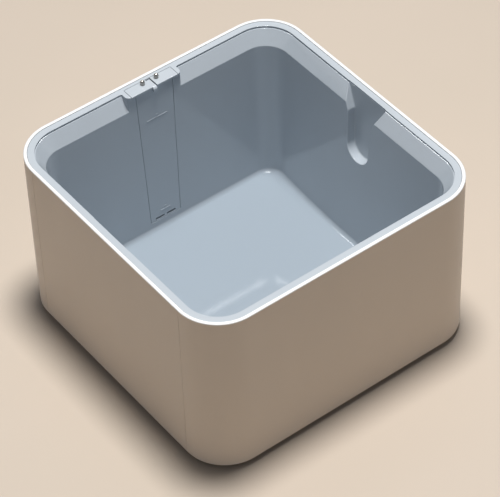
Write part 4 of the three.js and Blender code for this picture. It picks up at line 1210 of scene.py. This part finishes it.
# %% Plastics
DUST_AND_SHEEN_COLOUR = (0.66, 0.65, 0.63)
WAVES = 13.0


def placed_group(tree, group, inputs):
    """The outputs of a node group placed in a material."""
    return put(tree, "ShaderNodeGroup", inputs, node_tree=group).outputs


def object_place(tree):
    """The piece's own coordinates, in metres."""
    return put(tree, "ShaderNodeTexCoord").outputs["Object"]


def plain_material(name):
    """A material with an empty tree but for the shader and the output: (material, tree, shader)."""
    made = bpy.data.materials.new(name)
    made.use_nodes = True
    tree = made.node_tree
    return made, tree, next(n for n in tree.nodes if n.type == "BSDF_PRINCIPLED")


def add_relief(tree, shader, height, depth):
    """Bumps a shader's normal by a height from 0 to 1, which stands for a depth in metres."""
    relief = put(tree, "ShaderNodeBump", {"Strength": 1.0, "Distance": depth, "Height": height})
    tree.links.new(relief.outputs["Normal"], shader.inputs["Normal"])


def moulded_plastic(name, light, dark, gloss, bump, dust, marks, painted_basin_shade=None):
    """A moulded plastic: two near shades, its roughness, and how much relief, dust and wear.

    Bump is (grain scale, grain share, depth) and dust (amount, lowest level in metres); on the basin
    that pale dust mask is painted sheen as well as dust. The painted basin shade is a darker colour
    painted on a floor as shade, with the level under which it lies.
    """
    made, tree, shader = plain_material(name)
    place = object_place(tree)
    grain_scale, grain_share, depth = bump
    grain_inputs = {"Place": place, "Grain": grain_scale, "Waves": WAVES, "Grain Share": grain_share}
    grain = placed_group(tree, grain_tree, grain_inputs)
    wear = placed_group(tree, handling_tree, {"Place": place, "Amount": marks})
    amount, lowest = dust
    dust_and_sheen = placed_group(tree, dust_and_sheen_tree, {"Place": place, "Amount": amount, "Lowest": lowest})["Mask"]
    colour = blended(tree, grain["Tone"], dark, light)
    # Painted shade: the basin's floor is coloured darker under a level.
    if painted_basin_shade:
        painted_shade_colour, painted_shade_level = painted_basin_shade
        painted_shade_mask = spread(tree, z_of(tree, place), painted_shade_level + FLOOR_FILLET * MM, painted_shade_level)
        colour = blended(tree, painted_shade_mask, colour, painted_shade_colour)
    # The pale mask is dust, and on the basin's ledge painted sheen as well.
    tree.links.new(blended(tree, dust_and_sheen, colour, DUST_AND_SHEEN_COLOUR), shader.inputs["Base Color"])
    satin = math_node(tree, "MULTIPLY_ADD", wear["Smudge"], 0.12, gloss)
    worn = math_node(tree, "MULTIPLY_ADD", wear["Scratch"], 0.2, satin)
    dull = math_node(tree, "MULTIPLY_ADD", dust_and_sheen, 0.5, worn)
    tree.links.new(dull, shader.inputs["Roughness"])
    add_relief(tree, shader, grain["Height"], depth)
    return made


ledge_level = (RIM_Z - LEDGE_DROP - 1.0) * MM
floor_level = (RIM_Z - FLOOR_DROP) * MM
white_plastic = moulded_plastic(
    "white_plastic", (0.75, 0.76, 0.77), (0.72, 0.73, 0.74), gloss=0.42,
    bump=(1800.0, 0.35, 0.00006), dust=(0.05, -1.0), marks=0.5)
# The basin's pale mask stops under the ledge, so the ledge is lightened by dust and painted sheen; its floor
# is painted darker as shade.
basin_plastic = moulded_plastic(
    "basin_plastic", (0.455, 0.503, 0.55), (0.435, 0.482, 0.53), gloss=0.06,
    bump=(2200.0, 0.3, 0.00002), dust=(0.10, ledge_level), marks=0.15,
    painted_basin_shade=((0.355, 0.412, 0.468), floor_level))
dark_plastic = moulded_plastic(
    "dark_plastic", (0.055, 0.06, 0.066), (0.04, 0.045, 0.05), gloss=0.5,
    bump=(1500.0, 0.7, 0.00012), dust=(0.3, -1.0), marks=0.8)
print("plastics:", white_plastic.name, basin_plastic.name, dark_plastic.name)

# %% [markdown]
# Steel here is of three kinds: polished on the contacts, duller on the screws and nuts, and drawn flat
# on the electrodes. A group gives fine lines along one axis, and their direction is set by the scales
# on the piece's coordinates.

# %% Drawn lines
drawn_tree, given, result = new_group(
    "drawn_lines",
    [("Place", VECTOR, None), ("Scales", VECTOR, (1500.0, 1500.0, 60.0))],
    [("Height", VALUE), ("Tone", VALUE)],
)
hairs = noise(drawn_tree, scaled(drawn_tree, given["Place"], given["Scales"]), 1.0, 3.0, 0.65)
stains = noise(drawn_tree, given["Place"], 240.0, 2.0)
tone = math_node(drawn_tree, "MULTIPLY_ADD", hairs, 0.5, product(drawn_tree, stains, 0.5))
drawn_tree.links.new(hairs, result["Height"])
drawn_tree.links.new(tone, result["Tone"])
print("group", drawn_tree.name, "with", len(drawn_tree.nodes), "nodes")

# %% [markdown]
# The tone of the drawn lines moves a steel's colour and its gloss together, as on real drawn metal.
# Rubber is nearly black and dull, and paler where it carries dust.


# %% Steel and rubber
def steel(name, scales, light, dark, smooth, rough, depth):
    """A steel: line scales, two shades, the range of its roughness, and the depth of its lines."""
    made, tree, shader = plain_material(name)
    drawn = placed_group(tree, drawn_tree, {"Place": object_place(tree), "Scales": scales})
    tree.links.new(blended(tree, drawn["Tone"], dark, light), shader.inputs["Base Color"])
    tree.links.new(spread(tree, drawn["Tone"], 0.3, 0.7, smooth, rough), shader.inputs["Roughness"])
    add_relief(tree, shader, drawn["Height"], depth)
    shader.inputs["Metallic"].default_value = 1.0
    return made


def dusty_rubber(name, dark, pale):
    """A rubber: its own colour, and that of the dust on it."""
    made, tree, shader = plain_material(name)
    place = object_place(tree)
    grain_inputs = {"Place": place, "Grain": 1100.0, "Waves": 60.0, "Grain Share": 0.8}
    grain = placed_group(tree, grain_tree, grain_inputs)
    dust = placed_group(tree, handling_tree, {"Place": place, "Amount": 0.7})["Smudge"]
    tree.links.new(blended(tree, dust, dark, pale), shader.inputs["Base Color"])
    tree.links.new(spread(tree, grain["Tone"], 0.0, 1.0, 0.62, 0.8), shader.inputs["Roughness"])
    add_relief(tree, shader, grain["Height"], 0.0001)
    return made


polished_steel = steel(
    "polished_steel", (700.0, 700.0, 2600.0), (0.36, 0.345, 0.325), (0.28, 0.27, 0.255),
    smooth=0.06, rough=0.13, depth=0.000003)
flat_steel = steel(
    "flat_steel", (3000.0, 3000.0, 40.0), (0.16, 0.155, 0.15), (0.10, 0.10, 0.10),
    smooth=0.40, rough=0.60, depth=0.00001)
screw_steel = steel(
    "screw_steel", (900.0, 900.0, 2200.0), (0.50, 0.49, 0.48), (0.34, 0.33, 0.32),
    smooth=0.28, rough=0.45, depth=0.00001)
rubber = dusty_rubber("rubber", (0.018, 0.018, 0.019), (0.09, 0.085, 0.08))
print("steels and rubber:", polished_steel.name, flat_steel.name, screw_steel.name, rubber.name)

# %% [markdown]
# Each new piece takes the material of its slot, and the contacts the polished steel. The small pieces
# inside the probe keep their CAD meshes, which nobody sees from close by, and get the same materials.

# %% Materials on the pieces
finish_of = {
    "white_plastic": white_plastic, "basin_plastic": basin_plastic, "dark_plastic": dark_plastic,
    "steel": screw_steel, "rubber": rubber,
}
for piece, _, cad_node, slot_name in ties:
    made = polished_steel if cad_node.startswith("contact") else finish_of[slot_name]
    piece.data.materials.clear()
    piece.data.materials.append(made)
    piece.data.polygons.foreach_set("material_index", np.zeros(len(piece.data.polygons), int))
kept_nodes = {
    "electrode_carrier": dark_plastic, "contact_seal_left": rubber, "contact_seal_right": rubber,
    "contact_nut_left": screw_steel, "contact_nut_right": screw_steel, "electrode_left": flat_steel,
    "electrode_right": flat_steel, "probe_screw_1": screw_steel, "probe_screw_2": screw_steel,
}
for cad_node, made in kept_nodes.items():
    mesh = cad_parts[cad_node].data
    mesh.materials.clear()
    mesh.materials.append(made)
print(len(ties), "new pieces and", len(kept_nodes), "CAD nodes have materials")

# %% [markdown]
# The photograph has one large soft source overhead: what lies level is about three times as bright as
# what stands upright. An area lamp gives that, and a weak even world fills the shadows. A second, wide
# lamp behind the tank shows only in glossy reflections. The floor is plain and pale where it is seen,
# but the light it throws back is that of a wooden floor, which warms the shell's lower walls as in the
# photograph.


# %% Floor and light
FLOOR_HALF = 5.0
FLOOR_SHADES = (0.57, 0.49, 0.405), (0.59, 0.505, 0.42)
FLOOR_BOUNCE = (0.50, 0.33, 0.18)
LAMP_AIM = Vector((0.0, 0.0, 0.1))
WORLD_STRENGTH = 0.175
WORLD_SHOWN = 0.8
WORLD_OVERHEAD = 0.15


def shown_share(tree):
    """1 where the camera, a mirror image or a clear piece shows a surface, 0 for the light it gives."""
    ray = put(tree, "ShaderNodeLightPath").outputs
    seen = math_node(tree, "MAXIMUM", ray["Is Camera Ray"], ray["Is Glossy Ray"])
    return math_node(tree, "MAXIMUM", seen, ray["Is Transmission Ray"])


def area_lamp(name, place, shape, width, depth, power):
    """An area lamp that looks at LAMP_AIM: its place and size are in metres, its power in watts."""
    made = bpy.data.objects.new(name, bpy.data.lights.new(name, "AREA"))
    made.data.shape = shape
    made.data.size, made.data.size_y = width, depth
    made.data.energy = power
    place = Vector(place)
    turn = (place - LAMP_AIM).to_track_quat("Z", "Y")
    made.matrix_world = Matrix.LocRotScale(place, turn, None)
    bpy.context.scene.collection.objects.link(made)
    return made


floor = bpy.data.objects.new("floor", bpy.data.meshes.new("floor"))
corners = [(x * FLOOR_HALF, y * FLOOR_HALF, 0) for x, y in ((-1, -1), (1, -1), (1, 1), (-1, 1))]
floor.data.from_pydata(corners, [], [(0, 1, 2, 3)])
bpy.context.scene.collection.objects.link(floor)
floor_finish, floor_tree, floor_shader = plain_material("floor_finish")
floor_tone = spread(floor_tree, noise(floor_tree, object_place(floor_tree), 3.0, 3.0), 0.3, 0.7)
floor_colour = blended(floor_tree, floor_tone, *FLOOR_SHADES)
floor_shade = blended(floor_tree, shown_share(floor_tree), FLOOR_BOUNCE, floor_colour)
floor_tree.links.new(floor_shade, floor_shader.inputs["Base Color"])
floor_shader.inputs["Roughness"].default_value = 0.6
floor_shader.inputs["Specular IOR Level"].default_value = 0.3
floor.data.materials.append(floor_finish)

lamp = area_lamp("overhead_lamp", (0.12, 0.03, 2.2), "DISK", 0.5, 0.5, 53.5)
lamp.data.color = (1.0, 0.99, 0.975)
back_lamp = area_lamp("back_lamp", (0.51, 0.87, 2.03), "RECTANGLE", 1.4, 0.42, 28.0)
back_lamp.visible_diffuse = False

world = bpy.data.worlds.new("even_light")
world.use_nodes = True
world_tree = world.node_tree
backdrop = world_tree.nodes["Background"]
backdrop.inputs["Color"].default_value = (0.93, 0.95, 1.0, 1)
direction = put(world_tree, "ShaderNodeTexCoord").outputs["Generated"]
room_light = spread(world_tree, z_of(world_tree, direction), 0.3, 0.7, WORLD_SHOWN, WORLD_OVERHEAD)
difference = math_node(world_tree, "SUBTRACT", room_light, WORLD_STRENGTH)
extra = product(world_tree, shown_share(world_tree), difference)
world_tree.links.new(math_node(world_tree, "ADD", extra, WORLD_STRENGTH), backdrop.inputs["Strength"])
bpy.context.scene.world = world
print("lamp", lamp.data.energy, "W, world", WORLD_STRENGTH, "and", WORLD_SHOWN, "where it is seen")
